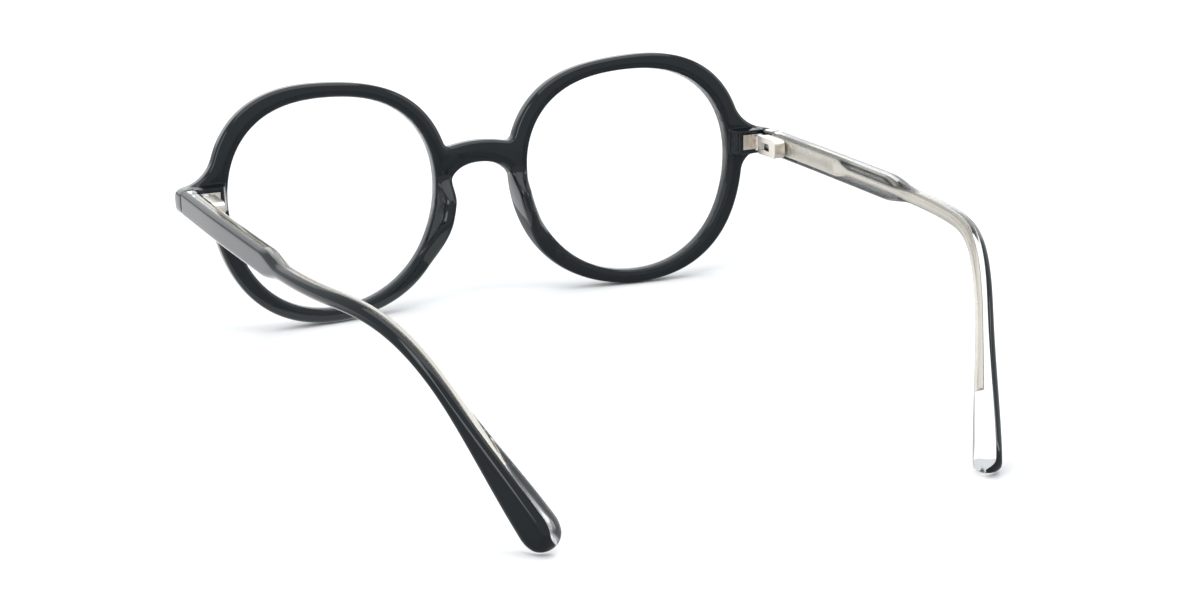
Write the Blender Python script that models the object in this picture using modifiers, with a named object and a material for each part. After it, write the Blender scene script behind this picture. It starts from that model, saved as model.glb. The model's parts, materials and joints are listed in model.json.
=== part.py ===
"""Round acetate eyeglasses with spring hinges, modelled piece by piece.

Metres, +Z up. The lenses face -Y, the temples run towards +Y and the wearer's left is +X. The
glasses stand open on the lowest points of both rims and both temple tips. The front is drawn in
its own plane, x across and v up, with its rear face at y = 0, and is then swept back by the face
form angle. Each hinge has a frame of its own, with its origin on the screw's axis, x towards the
outside, y along the temple and z along the screw.
"""
import math

import bmesh
import bpy
import numpy as np
from mathutils import Matrix, Vector

# The lens opening is a circle changed by small waves: wider than tall, broader at the brow,
# fuller at the nose and a little square.
LENS_RADIUS = 0.0237
LENS_WIDER = 0.0005
LENS_BROW = 0.0006
LENS_NASAL = 0.0002
LENS_SQUARER = 0.00035
LENS_SPACING = 0.070
LENS_THICKNESS = 0.0018
LENS_SAGITTA = 0.0022
LENS_BEVEL_DEPTH = 0.0006
LENS_BEVEL_HALF = 0.0005
LENS_CLEARANCE = 0.0001

# The acetate front.
RIM_WIDTH = 0.0036
RIM_SIDE_EXTRA = 0.0004
RIM_CORNER_EXTRA = 0.0002
RIM_OUTWARD = 0.0001
RIM_BROW = 0.0001
RIM_TAPER = 0.00012
RIM_SQUARER = 0.0002
FRONT_THICKNESS = 0.0039
FACE_FORM = math.radians(4.85)
EDGE_ROUND = 0.0006
OPENING_FLARE = 0.0003
BRIDGE_TOP = 0.0094
BRIDGE_SHOULDER = 0.0070
BRIDGE_DIP = 0.0008
BRIDGE_FLARE = 0.0210
ARCH_TOP = 0.0046
ARCH_HALF_WIDTH = 0.0082
ARCH_DROP = 0.0078
ARCH_POWER = 2.3
END_REACH = 0.00712
END_UPPER_FILLET = 0.0084
END_LOWER_FILLET = 0.0045
END_CORNER = 0.0015
END_WALL = 0.0011
END_SLOPE = 0.0004
JOINT_DEPTH = 0.0080
JOINT_RISE = 0.0036

# The nose pads, from the angle where each starts under the bridge to where it runs out.
PAD_START = math.radians(172)
PAD_END = math.radians(217)
PAD_HEIGHT = 0.0043
PAD_END_HEIGHT = 0.0004
PAD_INSET = 0.0004
PAD_OVERHANG = 0.0002
GLUE_GAP = 0.00005

# The temples.
PANTOSCOPIC = math.radians(5.0)
TEMPLE_THICKNESS = 0.0036
TEMPLE_HEIGHT = 0.0054
TEMPLE_LENGTH = 0.1497
TEMPLE_CORNER = 0.0008
OUTER_LAYER = 0.0012
LAYER_GAP = 0.00005
SHOULDER_START = 0.0540
SHOULDER_END = 0.0650
SLIM_HEIGHT = 0.0031
SLIM_THICKNESS = 0.0034
SLIM_CORNER = 0.0014
TOE_IN_START = 0.0140
TOE_IN_END = 0.0340
TOE_IN = math.radians(1.0)
BOW_START = 0.0539
BOW_END = 0.1248
BOW_ANGLE = math.radians(28.8)
EAR_START = 0.0842
EAR_END = 0.1210
EAR_ANGLE = math.radians(46.7)
TIP_START = 0.1152
TIP_HEIGHT = 0.0078
TIP_THICKNESS = 0.0052
TIP_ROUND = 0.0045
JOINT_GAP = 0.00006

# The hinge: its barrels stand off the end piece and off the temple's inner face.
BARREL_RADIUS = 0.0012
BARREL_SETBACK = 0.0015
BARREL_CLEARANCE = 0.0002
HINGE_HEIGHT = 0.0034
KNUCKLE_HEIGHT = 0.0012
SIDE_PLAY = 0.00005
SCREW_RADIUS = 0.00060
SCREW_HEAD_RADIUS = 0.00095
SCREW_HEAD_HEIGHT = 0.00035
SCREW_SLOT = 0.00025
BORE_PLAY = 0.00004
PLATE_THICKNESS = 0.0006
PLATE_OUTER = 0.00085
PLATE_CLEARANCE = 0.00015
ANCHOR_DEPTH = 0.0014
ANCHOR_MARGIN = 0.0006

# The spring box and what runs in it.
BOX_LENGTH = 0.0082
BOX_HEIGHT = 0.0041
BOX_FRONT = 0.0014
BOX_STANDOFF = 0.0001
BOX_CORNER = 0.0004
BOX_TAIL_ROUND = 0.0012
BOX_BORE = 0.00088
BOX_END_WALL = 0.0008
BOX_FOOT_HALF = 0.0009
WINDOW_START = 0.0017
WINDOW_LENGTH = 0.0037
WINDOW_HALF = 0.0008
ROD_RADIUS = 0.00045
ROD_HEAD_RADIUS = 0.00080
ROD_HEAD_LENGTH = 0.0005
TONGUE_HALF = 0.00055
CLIP_LENGTH = 0.0012
SPRING_WIRE = 0.00011
SPRING_RADIUS = 0.00064
SPRING_TURNS = 7
PART_PLAY = 0.00005

# The core: a plate behind the spring box that narrows to the wire inside the clear layer.
CORE_THICKNESS = 0.0008
CORE_PLATE_HEIGHT = 0.0034
CORE_PLATE_END = 0.0330
CORE_TAPER_END = 0.0395
CORE_WIRE_HEIGHT = 0.0014
CORE_END_MARGIN = 0.0157
CORE_CLEARANCE = 0.00004

# How finely the shapes are divided.
LENS_STEPS = 60
RIM_STEPS = 66
TEMPLE_STEPS = 40
PAD_STEPS = 14
EDGE_STEPS = 3
BARREL_SIDES = 20

# Places that follow from the sizes above.
LENS_X = LENS_SPACING / 2
RIM_TEMPORAL = RIM_WIDTH + RIM_SIDE_EXTRA + RIM_OUTWARD - RIM_TAPER - RIM_SQUARER
HALF_WIDTH = LENS_X + LENS_RADIUS + LENS_WIDER - LENS_NASAL - LENS_SQUARER + RIM_TEMPORAL + END_REACH
TEMPLE_X = HALF_WIDTH - TEMPLE_THICKNESS / 2
HINGE_X = TEMPLE_X - TEMPLE_THICKNESS / 2 - BARREL_RADIUS - BARREL_CLEARANCE
HINGE_Y = JOINT_DEPTH + BARREL_SETBACK * math.cos(PANTOSCOPIC)
HINGE_V = JOINT_RISE - BARREL_SETBACK * math.sin(PANTOSCOPIC)
TEMPLE_OFFSET = TEMPLE_X - HINGE_X
END_INNER = LENS_X + LENS_RADIUS + 0.37 * RIM_WIDTH - HINGE_X
BOX_HALF_WIDTH = BARREL_RADIUS + BARREL_CLEARANCE - BOX_STANDOFF
BOX_END = BOX_FRONT + BOX_LENGTH
ROD_END = BOX_END - BOX_END_WALL - PART_PLAY


def smooth(t):
    """0 to 1 with a level start and end."""
    t = np.clip(t, 0, 1)
    return t * t * (3 - 2 * t)


def lens_radius(angle):
    """Radius of the lens opening at an angle from its temporal side."""
    return (
        LENS_RADIUS
        + LENS_WIDER * np.cos(2 * angle)
        + LENS_BROW * np.sin(3 * angle)
        - LENS_NASAL * np.cos(3 * angle)
        - LENS_SQUARER * np.cos(4 * angle)
    )


def rim_radius(angle):
    """Radius of the rim's outside, which is broader at the brow, the sides and the temporal corners."""
    return (
        lens_radius(angle)
        + RIM_WIDTH
        + RIM_SIDE_EXTRA * np.cos(2 * angle)
        + RIM_CORNER_EXTRA * np.sin(2 * angle)
        + RIM_OUTWARD * np.cos(angle)
        + RIM_BROW * np.sin(angle)
        - RIM_TAPER * np.cos(3 * angle)
        - RIM_SQUARER * np.cos(4 * angle)
    )


def around_lens(radius, angle):
    """Points (x, v) at these radii from the lens centre."""
    return np.stack([LENS_X + radius * np.cos(angle), radius * np.sin(angle)], axis=-1)


def arc(centre, radius, start, end, steps):
    """Points (x, v) along an arc."""
    angle = np.linspace(start, end, steps)
    return np.stack([centre[0] + radius * np.cos(angle), centre[1] + radius * np.sin(angle)], axis=-1)


def outside_rim(points):
    """The points of a curve that lie outside the rim, with one at the crossing itself."""
    x, v = points[:, 0] - LENS_X, points[:, 1]
    spare = np.hypot(x, v) - rim_radius(np.arctan2(v, x))
    last = int(np.argmax(spare <= 0))
    share = spare[last - 1] / (spare[last - 1] - spare[last])
    crossing = points[last - 1] + share * (points[last] - points[last - 1])
    return np.vstack([points[:last], crossing])


def angle_of(point):
    return math.atan2(point[1], point[0] - LENS_X)


def bridge_top():
    """The bridge's upper edge, from beside the middle to the rim: a low crown, then a flare."""
    x = np.linspace(0.05, 1.7, 26) * BRIDGE_SHOULDER
    dip = BRIDGE_DIP * np.minimum(x / BRIDGE_SHOULDER, 1) ** 2
    flare = BRIDGE_FLARE * np.maximum(x / BRIDGE_SHOULDER - 1, 0) ** 2
    return outside_rim(np.stack([x, BRIDGE_TOP - dip + flare], axis=-1))


def bridge_arch():
    """The arch over the nose, from beside the middle to the rim: a quarter of a superellipse."""
    t = np.linspace(0.05, math.pi / 2, 18)
    x = ARCH_HALF_WIDTH * np.sin(t) ** (2 / ARCH_POWER)
    v = ARCH_TOP - ARCH_DROP * (1 - np.cos(t) ** (2 / ARCH_POWER))
    return outside_rim(np.stack([x, v], axis=-1))


def end_fillet(edge_v, radius, side):
    """The hollow curve between the rim and the end piece's upper (side 1) or lower (side -1) edge.

    It touches the rim where the line between their centres crosses it. Gives the curve's points in
    the outline's order and the angle at which it leaves the rim.
    """
    centre_v = edge_v + side * radius
    angle = math.atan2(centre_v, HALF_WIDTH - LENS_X)
    for _ in range(8):
        reach = float(rim_radius(angle)) + radius
        angle = math.asin(centre_v / reach)
    centre = (LENS_X + reach * math.cos(angle), centre_v)
    ends = (math.pi + angle, 1.5 * math.pi) if side > 0 else (math.pi / 2, math.pi + angle)
    return arc(centre, radius, *ends, 8), angle


def front_outline(overrun):
    """The left half of the front's outer edge, drawn from the bridge's middle round the rim."""
    top, arch = bridge_top(), bridge_arch()
    upper_v, lower_v = JOINT_RISE + TEMPLE_HEIGHT / 2, JOINT_RISE - TEMPLE_HEIGHT / 2
    upper, upper_angle = end_fillet(upper_v, END_UPPER_FILLET, 1)
    lower, lower_angle = end_fillet(lower_v, END_LOWER_FILLET, -1)
    corner_x = HALF_WIDTH - END_CORNER
    upper, lower = upper[upper[:, 0] < corner_x], lower[lower[:, 0] < corner_x]
    brow = np.linspace(angle_of(top[-1]), upper_angle, RIM_STEPS // 2)[1:-1]
    arch_angle = angle_of(arch[-1]) % (2 * math.pi) - 2 * math.pi
    cheek = np.linspace(lower_angle, arch_angle, RIM_STEPS // 2 + 6)[1:-1]
    return np.vstack(
        [
            [(-overrun, BRIDGE_TOP)],
            top,
            around_lens(rim_radius(brow), brow),
            upper,
            arc((corner_x, upper_v - END_CORNER), END_CORNER, math.pi / 2, 0, 4),
            arc((corner_x, lower_v + END_CORNER), END_CORNER, 0, -math.pi / 2, 4),
            lower,
            around_lens(rim_radius(cheek), cheek),
            arch[::-1],
            [(-overrun, ARCH_TOP)],
        ]
    )


def material(name, colour, roughness, metallic=0.0, transmission=0.0):
    made = bpy.data.materials.new(name)
    made.use_nodes = True
    shader = made.node_tree.nodes["Principled BSDF"]
    shader.inputs["Base Color"].default_value = (*colour, 1)
    shader.inputs["Roughness"].default_value = roughness
    shader.inputs["Metallic"].default_value = metallic
    shader.inputs["Transmission Weight"].default_value = transmission
    made.diffuse_color = (*colour, 1)
    return made


def collection(name):
    made = bpy.data.collections.new(name)
    bpy.context.scene.collection.children.link(made)
    return made


def place(obj, group, parent):
    group.objects.link(obj)
    obj.parent = parent
    return obj


def empty(name, group, parent=None, location=(0, 0, 0), tilt=0.0):
    made = place(bpy.data.objects.new(name, None), group, parent)
    made.location = location
    made.rotation_euler.x = tilt
    made.empty_display_size = 0.005
    return made


def solid(name, bm, shared, group, parent):
    """A new object from a bmesh, with its faces turned outwards and round faces smooth."""
    bmesh.ops.remove_doubles(bm, verts=bm.verts, dist=1e-7)
    bmesh.ops.recalc_face_normals(bm, faces=bm.faces)
    mesh = bpy.data.meshes.new(name)
    bm.to_mesh(mesh)
    bm.free()
    if shared:
        mesh.materials.append(shared)
    mesh.shade_smooth()
    mesh.set_sharp_from_angle(angle=math.radians(35))
    return place(bpy.data.objects.new(name, mesh), group, parent)


def cutter(name, bm):
    """A solid that only cuts: hidden from renders and kept in its own collection."""
    made = solid(name, bm, None, CUTTERS, None)
    made.hide_render = True
    made.display_type = "WIRE"
    return made


def boolean(obj, other, parent, operation):
    other.parent = parent
    modifier = obj.modifiers.new(other.name, "BOOLEAN")
    modifier.operation = operation
    modifier.solver = "EXACT"
    modifier.object = other


def cut(obj, other, parent):
    boolean(obj, other, parent, "DIFFERENCE")


def join(obj, other, parent):
    boolean(obj, other, parent, "UNION")


def box_mesh(low, high):
    """A box between two corners."""
    bm = bmesh.new()
    bmesh.ops.create_cube(bm, size=1)
    low, high = Vector(low), Vector(high)
    bmesh.ops.scale(bm, vec=high - low, verts=bm.verts)
    bmesh.ops.translate(bm, vec=(low + high) / 2, verts=bm.verts)
    return bm


def cylinder_mesh(radius, start, end, sides=BARREL_SIDES):
    """A cylinder between two points on its axis."""
    bm = bmesh.new()
    start, end = Vector(start), Vector(end)
    along = end - start
    turn = along.to_track_quat("Z", "Y").to_matrix().to_4x4()
    bmesh.ops.create_cone(
        bm,
        cap_ends=True,
        segments=sides,
        radius1=radius,
        radius2=radius,
        depth=along.length,
        matrix=Matrix.Translation((start + end) / 2) @ turn,
    )
    return bm


def rings_mesh(rings, closed=False):
    """A body through a row of rings with the same number of points; capped unless it closes on itself."""
    bm = bmesh.new()
    made = [[bm.verts.new(point) for point in ring] for ring in rings]
    pairs = list(zip(made, made[1:]))
    if closed:
        pairs.append((made[-1], made[0]))
    for first, second in pairs:
        for i in range(len(first)):
            j = (i + 1) % len(first)
            bm.faces.new((first[i], first[j], second[j], second[i]))
    if not closed:
        bm.faces.new(made[0][::-1])
        bm.faces.new(made[-1])
    return bm


def rounded_rectangle(low, high, radius, steps=4):
    """Points round a rectangle with rounded corners."""
    corners = ((high[0], high[1], 0), (low[0], high[1], 1), (low[0], low[1], 2), (high[0], low[1], 3))
    points = []
    for x, z, quarter in corners:
        sign_x, sign_z = (1 if x == high[0] else -1), (1 if z == high[1] else -1)
        centre = (x - sign_x * radius, z - sign_z * radius)
        points.extend(arc(centre, radius, quarter * math.pi / 2, (quarter + 1) * math.pi / 2, steps))
    return points


def sweep_back(points):
    """Moves front points back with their distance from the middle, by the face form angle."""
    points = np.array(points, float)
    points[..., 1] += np.abs(points[..., 0]) * math.tan(FACE_FORM)
    return points


def inset(outline, distance):
    """The outline moved inwards by this distance, with its corners mitred. It runs clockwise."""
    before, after = outline - np.roll(outline, 1, axis=0), np.roll(outline, -1, axis=0) - outline
    before /= np.linalg.norm(before, axis=1)[:, None]
    after /= np.linalg.norm(after, axis=1)[:, None]
    normal = (before + after)[:, ::-1] * (1, -1)
    normal /= np.linalg.norm(normal, axis=1)[:, None]
    lean = np.sum(normal * after[:, ::-1] * (1, -1), axis=1)
    return outline + distance * normal / np.maximum(lean, 0.5)[:, None]


def spaced(outline, least):
    """The outline without points closer than this to the one before."""
    kept = [outline[0]]
    for point in outline[1:]:
        if np.hypot(*(point - kept[-1])) > least:
            kept.append(point)
    return np.array(kept)


def slab_mesh(outline):
    """The outline as a slab between the front's two faces, with its edges rounded in three steps."""
    turn = np.linspace(0, math.pi / 2, EDGE_STEPS)
    insets = EDGE_ROUND * (1 - np.sin(turn))
    depths = -EDGE_ROUND * (1 - np.cos(turn))
    rows = list(zip(insets, depths)) + list(zip(insets[::-1], -FRONT_THICKNESS - depths[::-1]))
    rings = []
    for distance, depth in rows:
        flat = inset(outline, distance)
        rings.append(np.c_[flat[:, 0], depth + flat[:, 0] * math.tan(FACE_FORM), flat[:, 1]])
    return rings_mesh(rings)


def opening_mesh():
    """The lens opening's cutter: straight in the rim, flared at both faces, with the lens groove."""
    angle = np.linspace(0, 2 * math.pi, LENS_STEPS, endpoint=False)
    middle, half = -FRONT_THICKNESS / 2, LENS_BEVEL_HALF + LENS_CLEARANCE
    past = 0.001
    rows = [(past + OPENING_FLARE, past), (0, -OPENING_FLARE), (0, middle + half),
            (LENS_BEVEL_DEPTH + LENS_CLEARANCE, middle), (0, middle - half),
            (0, OPENING_FLARE - FRONT_THICKNESS), (past + OPENING_FLARE, -FRONT_THICKNESS - past)]
    rings = []
    for spread, depth in rows:
        flat = around_lens(lens_radius(angle) + spread, angle)
        rings.append(sweep_back(np.c_[flat[:, 0], np.full(LENS_STEPS, depth), flat[:, 1]]))
    return rings_mesh(rings)


def from_hinge(points):
    """Points in the hinge's frame as points in the front's."""
    x, y, z = np.asarray(points, float).T
    cos, sin = math.cos(PANTOSCOPIC), math.sin(PANTOSCOPIC)
    return np.c_[HINGE_X + x, HINGE_Y + y * cos + z * sin, HINGE_V - y * sin + z * cos]


def end_block_mesh():
    """The end piece behind the front's plane, from inside the slab to the joint with the temple."""
    half = TEMPLE_HEIGHT / 2
    at_joint = rounded_rectangle((END_INNER, -half), (HALF_WIDTH - HINGE_X, half), TEMPLE_CORNER)
    in_slab = rounded_rectangle(
        (END_INNER - END_SLOPE + HINGE_X, JOINT_RISE - half + EDGE_ROUND / 2),
        (HALF_WIDTH - EDGE_ROUND / 2, JOINT_RISE + half - EDGE_ROUND / 2),
        END_CORNER,
    )
    depth = -0.75 * FRONT_THICKNESS
    first = [(x, depth + x * math.tan(FACE_FORM), v) for x, v in in_slab]
    return rings_mesh([first, from_hinge([(x, -BARREL_SETBACK, z) for x, z in at_joint])])


def front_frame(shared, root, hinge):
    """The acetate front: rims, bridge and end pieces, grooved for the lenses and cut for the hinges."""
    outline = spaced(front_outline(overrun=4 * EDGE_ROUND), 0.0003)
    front = solid("front_frame", slab_mesh(outline), shared, PARTS, root)
    join(front, cutter("end_block", end_block_mesh()), root)
    cut(front, cutter("lens_opening", opening_mesh()), root)
    cut(front, cutter("hinge_pocket", box_mesh(*plate_corners(PLATE_CLEARANCE))), hinge)
    cut(front, cutter("anchor_pocket", box_mesh(*anchor_corners(PLATE_CLEARANCE))), hinge)
    mirror = front.modifiers.new("other_half", "MIRROR")
    mirror.use_bisect_axis[0] = True
    mirror.bisect_threshold = 1e-6
    mirror.merge_threshold = 1e-6
    return front


def bevel_ring(inset_by, depth):
    """A ring round the lens at this distance inside the opening and this depth in the front."""
    angle = np.linspace(0, 2 * math.pi, LENS_STEPS, endpoint=False)
    flat = around_lens(lens_radius(angle) - inset_by, angle)
    return sweep_back(np.c_[flat[:, 0], np.full(LENS_STEPS, depth), flat[:, 1]])


def lens(shared, root):
    """A meniscus lens whose V edge stands in the rim's groove and whose middle domes forward."""
    middle = -FRONT_THICKNESS / 2
    edge = bevel_ring(LENS_CLEARANCE, middle + LENS_BEVEL_HALF)
    apex = bevel_ring(-LENS_BEVEL_DEPTH, middle)
    edge_front = bevel_ring(LENS_CLEARANCE, middle - LENS_BEVEL_HALF)
    angle = np.linspace(0, 2 * math.pi, LENS_STEPS, endpoint=False)

    def face(share, lift):
        flat = around_lens((lens_radius(angle) - LENS_CLEARANCE) * share, angle)
        depth = middle + lift - LENS_SAGITTA * (1 - share**2)
        return sweep_back(np.c_[flat[:, 0], np.full(LENS_STEPS, depth), flat[:, 1]])

    rear = [face(share, LENS_THICKNESS / 2) for share in (0.08, 0.55)]
    front = [face(share, -LENS_THICKNESS / 2) for share in (0.55, 0.08)]
    return solid("lens_left", rings_mesh([*rear, edge, apex, edge_front, *front]), shared, PARTS, root)


def nose_pad(shared, root):
    """A pad glued to the rim's rear face: a ridge that rises under the bridge and runs out below."""
    rings = []
    for share in np.linspace(0, 1, PAD_STEPS):
        angle = PAD_START + share * (PAD_END - PAD_START)
        inner = float(lens_radius(angle)) + PAD_INSET
        outer = float(rim_radius(angle)) + PAD_OVERHANG
        height = PAD_END_HEIGHT + (PAD_HEIGHT - PAD_END_HEIGHT) * math.sin(math.pi * share) ** 0.8
        turn = np.linspace(0, math.pi, 9)
        across = (inner + outer) / 2 + (outer - inner) / 2 * np.sign(np.cos(turn)) * np.abs(np.cos(turn)) ** 0.7
        lift = GLUE_GAP + height * np.sin(turn) ** 0.7
        lift[[0, -1]] = GLUE_GAP
        flat = around_lens(across, np.full(len(turn), angle))
        rings.append(sweep_back(np.c_[flat[:, 0], lift, flat[:, 1]]))
    return solid("nose_pad_left", rings_mesh(rings), shared, PARTS, root)


def plate_corners(clearance):
    """The hinge plate's corners, with its rear face flush with the end piece's joint face."""
    low = (END_INNER + END_WALL - clearance, -BARREL_SETBACK - PLATE_THICKNESS - clearance,
           -HINGE_HEIGHT / 2 - clearance)
    high = (PLATE_OUTER + clearance, -BARREL_SETBACK + (0.001 if clearance else 0), HINGE_HEIGHT / 2 + clearance)
    return low, high


def anchor_corners(clearance):
    """The foot behind the plate that holds the hinge in the acetate."""
    low, high = plate_corners(0)
    return (
        (low[0] + ANCHOR_MARGIN - clearance, low[1] - ANCHOR_DEPTH - clearance, low[2] + ANCHOR_MARGIN - clearance),
        (high[0] - ANCHOR_MARGIN + clearance, low[1] + 0.0001, high[2] - ANCHOR_MARGIN + clearance),
    )


def front_hinge(shared, hinge):
    """The hinge's fixed half: a plate, its foot and two eyelets with a gap for the middle knuckle."""
    leaf = solid("front_hinge_left", box_mesh(*plate_corners(0)), shared, PARTS, hinge)
    join(leaf, cutter("anchor", box_mesh(*anchor_corners(0))), hinge)
    half = HINGE_HEIGHT / 2 - 0.0001
    join(leaf, cutter("eyelet_barrel", cylinder_mesh(BARREL_RADIUS, (0, 0, -half), (0, 0, half))), hinge)
    root_low = (-0.8 * BARREL_RADIUS, -BARREL_SETBACK - PLATE_THICKNESS / 2, -half)
    root_high = (0.6 * BARREL_RADIUS, 0, half)
    join(leaf, cutter("eyelet_root", box_mesh(root_low, root_high)), hinge)
    gap = KNUCKLE_HEIGHT / 2 + SIDE_PLAY
    clear = BARREL_RADIUS + BARREL_CLEARANCE
    cut(leaf, cutter("knuckle_gap", box_mesh((-clear, -BARREL_SETBACK + 0.00015, -gap), (clear, clear, gap))), hinge)
    bore = SCREW_RADIUS + BORE_PLAY
    cut(leaf, cutter("eyelet_bore", cylinder_mesh(bore, (0, 0, -0.003), (0, 0, 0.003))), hinge)
    return leaf


def hinge_screw(shared, hinge):
    """The pivot screw: a turned shank and domed head, with a straight slot."""
    half = HINGE_HEIGHT / 2 - 0.0001
    under = half + SIDE_PLAY
    top = under + SCREW_HEAD_HEIGHT
    profile = ((0, top), (0.6 * SCREW_HEAD_RADIUS, top), (SCREW_HEAD_RADIUS, under + 0.0001),
               (SCREW_HEAD_RADIUS, under), (SCREW_RADIUS, under), (SCREW_RADIUS, -half + 0.0001),
               (0.8 * SCREW_RADIUS, -half - 0.0001), (0, -half - 0.0001))
    mesh = bpy.data.meshes.new("hinge_screw_left")
    mesh.from_pydata([(x, 0, z) for x, z in profile], [(i, i + 1) for i in range(len(profile) - 1)], [])
    mesh.materials.append(shared)
    screw = place(bpy.data.objects.new("hinge_screw_left", mesh), PARTS, hinge)
    turn = screw.modifiers.new("turned", "SCREW")
    turn.steps = turn.render_steps = BARREL_SIDES
    turn.use_merge_vertices = True
    turn.merge_threshold = 1e-6
    turn.use_smooth_shade = False
    slot = box_mesh((-0.002, -SCREW_SLOT / 2, top - 0.6 * SCREW_HEAD_HEIGHT), (0.002, SCREW_SLOT / 2, top + 0.001))
    cut(screw, cutter("screw_slot", slot), hinge)
    return screw


def spring_slider(shared, hinge):
    """The middle knuckle with the tongue and headed rod that the spring pulls back into its box."""
    half = KNUCKLE_HEIGHT / 2
    slider = solid("spring_slider_left", cylinder_mesh(BARREL_RADIUS, (0, 0, -half), (0, 0, half)), shared,
                   PARTS, hinge)
    neck = WINDOW_START + BOX_FRONT - 0.0004
    join(slider, cutter("tongue", box_mesh((-TONGUE_HALF, 0.0002, -TONGUE_HALF), (TONGUE_HALF, neck, TONGUE_HALF))),
         hinge)
    join(slider, cutter("rod", cylinder_mesh(ROD_RADIUS, (0, neck - 0.0003, 0), (0, ROD_END, 0), 12)), hinge)
    head = cylinder_mesh(ROD_HEAD_RADIUS, (0, ROD_END - ROD_HEAD_LENGTH, 0), (0, ROD_END, 0), 16)
    join(slider, cutter("rod_head", head), hinge)
    bore = SCREW_RADIUS + BORE_PLAY
    cut(slider, cutter("knuckle_bore", cylinder_mesh(bore, (0, 0, -0.002), (0, 0, 0.002))), hinge)
    return slider


def spring_box(shared, hinge):
    """The spring's housing on the temple's inner face, bored for the rod and windowed for the clip."""
    side = BOX_HEIGHT / 2
    outline = [(BOX_FRONT, -side + BOX_CORNER), (BOX_FRONT + BOX_CORNER, -side)]
    outline += list(arc((BOX_END - BOX_TAIL_ROUND, -side + BOX_TAIL_ROUND), BOX_TAIL_ROUND, -math.pi / 2, 0, 6))
    outline += list(arc((BOX_END - BOX_TAIL_ROUND, side - BOX_TAIL_ROUND), BOX_TAIL_ROUND, 0, math.pi / 2, 6))
    outline += [(BOX_FRONT + BOX_CORNER, side), (BOX_FRONT, side - BOX_CORNER)]
    body = rings_mesh([[(x, y, z) for y, z in outline] for x in (-BOX_HALF_WIDTH, BOX_HALF_WIDTH)])
    box = solid("spring_box_left", body, shared, PARTS, hinge)
    foot_low = (BOX_HALF_WIDTH - 0.0003, BOX_FRONT + 0.0015, -BOX_FOOT_HALF)
    foot_high = (core_inner() - PART_PLAY, BOX_END - 0.0015, BOX_FOOT_HALF)
    join(box, cutter("box_foot", box_mesh(foot_low, foot_high)), hinge)
    bore = cylinder_mesh(BOX_BORE, (0, BOX_FRONT - 0.001, 0), (0, BOX_END - BOX_END_WALL, 0), 24)
    cut(box, cutter("box_bore", bore), hinge)
    low = (-BOX_HALF_WIDTH - 0.001, BOX_FRONT + WINDOW_START, -WINDOW_HALF)
    high = (0, BOX_FRONT + WINDOW_START + WINDOW_LENGTH, WINDOW_HALF)
    cut(box, cutter("box_window", box_mesh(low, high)), hinge)
    return box


def lock_clip(shared, hinge):
    """The clip pushed in through the window: it straddles the rod and stops the spring's front end."""
    start = BOX_FRONT + WINDOW_START + PART_PLAY
    wide = WINDOW_HALF - PART_PLAY
    reach = math.sqrt(BOX_BORE**2 - wide**2) - 2 * PART_PLAY
    clip = solid("lock_clip_left", box_mesh((-BOX_HALF_WIDTH + PART_PLAY, start, -wide),
                                            (reach, start + CLIP_LENGTH, wide)), shared, PARTS, hinge)
    slot = ROD_RADIUS + 2 * PART_PLAY
    cut(clip, cutter("clip_slot", box_mesh((-slot, start - 0.001, -slot), (0.002, start + CLIP_LENGTH + 0.001, slot))),
        hinge)
    return clip


def hinge_spring(shared, hinge):
    """The coil round the rod, between the clip and the rod's head."""
    first = BOX_FRONT + WINDOW_START + PART_PLAY + CLIP_LENGTH + SPRING_WIRE + PART_PLAY
    last = ROD_END - ROD_HEAD_LENGTH - SPRING_WIRE - PART_PLAY
    turn = np.linspace(0, 2 * math.pi * SPRING_TURNS, 10 * SPRING_TURNS + 1)
    points = np.c_[SPRING_RADIUS * np.cos(turn), np.linspace(first, last, len(turn)), SPRING_RADIUS * np.sin(turn),
                   np.ones(len(turn))]
    curve = bpy.data.curves.new("hinge_spring_left", "CURVE")
    curve.dimensions = "3D"
    curve.bevel_depth = SPRING_WIRE
    curve.bevel_resolution = 1
    curve.use_fill_caps = True
    curve.materials.append(shared)
    spline = curve.splines.new("POLY")
    spline.points.add(len(points) - 1)
    spline.points.foreach_set("co", points.ravel())
    return place(bpy.data.objects.new("hinge_spring_left", curve), PARTS, hinge)


def layer_split(thickness):
    """How far the face between the two layers lies outwards of the temple's middle."""
    return thickness / 2 - OUTER_LAYER


def core_middle(thickness):
    """The core's place across the temple: the middle of the clear layer."""
    return (layer_split(thickness) - thickness / 2) / 2


def core_inner():
    """The core plate's face towards the spring box, in the hinge's frame."""
    return TEMPLE_OFFSET + core_middle(TEMPLE_THICKNESS) - CORE_THICKNESS / 2


def temple_path(along):
    """Centre points and the across, up and forward directions at these lengths from the joint.

    The temple runs straight, turns slightly inwards behind the spring box, then inwards by the bow
    angle and down by the ear angle. The centre line is the running sum of its direction.
    """
    fine = np.linspace(0, TEMPLE_LENGTH, 600)
    yaw = TOE_IN * smooth((fine - TOE_IN_START) / (TOE_IN_END - TOE_IN_START))
    yaw += BOW_ANGLE * smooth((fine - BOW_START) / (BOW_END - BOW_START))
    pitch = -EAR_ANGLE * smooth((fine - EAR_START) / (EAR_END - EAR_START))
    heading = np.stack([-np.sin(yaw) * np.cos(pitch), np.cos(yaw) * np.cos(pitch), np.sin(pitch)], axis=1)
    steps = np.diff(fine)[:, None] * (heading[1:] + heading[:-1]) / 2
    line = np.vstack([np.zeros(3), np.cumsum(steps, axis=0)]) + (TEMPLE_OFFSET, -BARREL_SETBACK, 0)
    centre = np.stack([np.interp(along, fine, line[:, i]) for i in range(3)], axis=1)
    forward = np.stack([np.interp(along, fine, heading[:, i]) for i in range(3)], axis=1)
    forward /= np.linalg.norm(forward, axis=1)[:, None]
    across = np.cross(forward, (0, 0, 1))
    across /= np.linalg.norm(across, axis=1)[:, None]
    return centre, across, np.cross(across, forward), forward


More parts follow.
